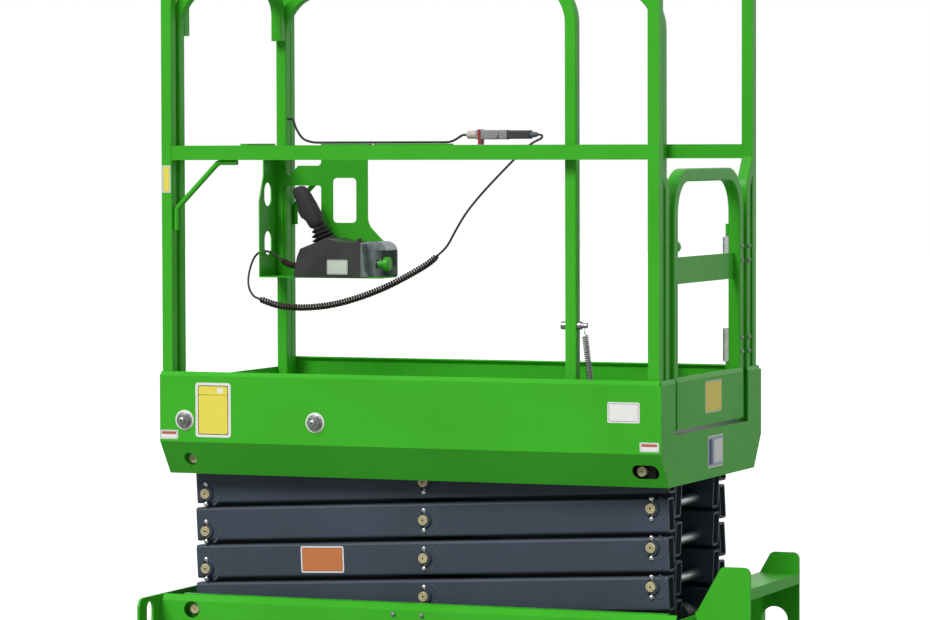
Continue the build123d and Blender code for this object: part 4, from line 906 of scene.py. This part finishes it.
def control_cord():
    """Curly and plain lead from the gland to the plug, as one tube."""
    plain_end = 2 * MM
    line = spline_points(CURL_ONE + LEAD_ONE + CURL_TWO + LEAD_TWO, "control_cord_line")
    runs = [0.0]
    for a, b in zip(line, line[1:]):
        runs.append(runs[-1] + (b - a).length)
    curls = [
        (runs[0] + plain_end, nearest_run(line, runs, CURL_ONE[-1])),
        (nearest_run(line, runs, LEAD_ONE[-1]), nearest_run(line, runs, CURL_TWO[-1])),
    ]
    per_turn = 14
    fine = CURL_PITCH / per_turn
    coarse = 4 * MM
    ease = 10 * MM
    points = []
    at = 0.0
    index = 0
    phase = 0.0
    side = None
    while at < runs[-1] - plain_end:
        here, index = along(line, runs, at, index)
        ahead = (line[index + 1] - line[index]).normalized()
        side = ahead.orthogonal() if side is None else side - ahead * side.dot(ahead)
        side.normalize()
        across = ahead.cross(side)
        swell = 0.0
        for start, stop in curls:
            if start < at < stop:
                swell = min(1.0, (at - start) / ease, (stop - at) / ease)
        swell = swell * swell * (3 - 2 * swell)
        if swell > 0:
            phase += 2 * math.pi / per_turn
        offset = (side * math.cos(phase) + across * math.sin(phase)) * CURL_RADIUS * swell
        points.append(here + offset)
        at += fine if any(start - ease < at < stop + ease for start, stop in curls) else coarse
    points.append(line[-1])
    bm = bmesh.new()
    sweep_line(bm, points, CORD_D / 2, 8)
    cord = piece("control_cord", bm, [cord_rubber], "extension")
    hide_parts("cord_coil", "cord_lead", "cord_coil_2", "cord_tail")


cord_rubber = moulded("cord_rubber", (0.040, 0.022, 0.026), 0.42, 1200.0, 0.0001)
control_cord()


# ================================================================ camera, floor and light
def make_camera():
    """The view that the object is seen from: a long lens, slightly above, turned 22 degrees."""
    yaw = math.radians(22.056)
    pitch = math.radians(2.379)
    roll = math.radians(-0.158)
    data = bpy.data.cameras.new("view")
    data.sensor_width = 36.0
    data.lens = 156.2
    data.clip_end = 200.0
    camera = placed("view", data)
    stand = (3.345, -8.399, 1.390)
    ahead = Vector((-math.sin(yaw) * math.cos(pitch), math.cos(yaw) * math.cos(pitch), -math.sin(pitch)))
    turn = ahead.to_track_quat("-Z", "Y").to_matrix().to_4x4() @ Matrix.Rotation(roll, 4, "Z")
    camera.matrix_world = Matrix.Translation(stand) @ turn
    bpy.context.scene.camera = camera


def make_floor():
    """A wide pale floor under the wheels."""
    bm = bmesh.new()
    half = 40.0
    ground = cad_bounds[0][2]
    corners = ((-half, -half), (half, -half), (half, half), (-half, half))
    bm.faces.new([bm.verts.new((x, y, ground)) for x, y in corners])
    mesh = bpy.data.meshes.new("floor")
    bm.to_mesh(mesh)
    bm.free()
    floor = placed("floor", mesh)
    n = Nodes("floor_paper")
    n.colour(n.ramp(n.noise(0.8, 3.0), [(0.3, (0.33, 0.33, 0.33)), (0.7, (0.36, 0.36, 0.36))]))
    n.set(Roughness=0.95, Specular_IOR_Level=0.0)
    glow = n.add("ShaderNodeEmission")
    seen = n.add("ShaderNodeLightPath")
    total = n.add("ShaderNodeAddShader")
    n.link(n.maths("MULTIPLY", seen.outputs["Is Camera Ray"], 0.8), glow.inputs["Strength"])
    n.link(n.shader.outputs["BSDF"], total.inputs[0])
    n.link(glow.outputs["Emission"], total.inputs[1])
    n.link(total.outputs["Shader"], n.tree.nodes["Material Output"].inputs["Surface"])
    mesh.materials.append(n.material)


def make_light():
    """A soft sun from the upper near left, and a white room that is dimmer on the near side."""
    sun_data = bpy.data.lights.new("sun", "SUN")
    sun_data.energy = 2.75
    sun_data.angle = math.radians(28)
    sun = placed("sun", sun_data)
    sun.matrix_world = Vector((-0.2, -0.75, 0.65)).to_track_quat("Z", "Y").to_matrix().to_4x4()

    world = bpy.data.worlds.new("studio")
    bpy.context.scene.world = world
    world.use_nodes = True
    tree = world.node_tree
    place = tree.nodes.new("ShaderNodeTexCoord")
    axes = tree.nodes.new("ShaderNodeSeparateXYZ")
    tree.links.new(place.outputs["Generated"], axes.inputs["Vector"])
    depth = tree.nodes.new("ShaderNodeMapRange")
    for key, value in (("From Min", -1.0), ("From Max", 1.0), ("To Min", 0.22), ("To Max", 0.95)):
        depth.inputs[key].default_value = value
    tree.links.new(axes.outputs["Y"], depth.inputs["Value"])
    fill = tree.nodes["Background"]
    fill.inputs["Color"].default_value = (1, 1, 1, 1)
    tree.links.new(depth.outputs["Result"], fill.inputs["Strength"])
    seen = tree.nodes.new("ShaderNodeBackground")
    seen.inputs["Color"].default_value = (1, 1, 1, 1)
    seen.inputs["Strength"].default_value = 1.0
    path = tree.nodes.new("ShaderNodeLightPath")
    mix = tree.nodes.new("ShaderNodeMixShader")
    tree.links.new(path.outputs["Is Camera Ray"], mix.inputs["Fac"])
    tree.links.new(fill.outputs["Background"], mix.inputs[1])
    tree.links.new(seen.outputs["Background"], mix.inputs[2])
    tree.links.new(mix.outputs["Shader"], tree.nodes["World Output"].inputs["Surface"])


make_camera()
make_floor()
make_light()
bpy.context.scene.view_settings.view_transform = "Standard"
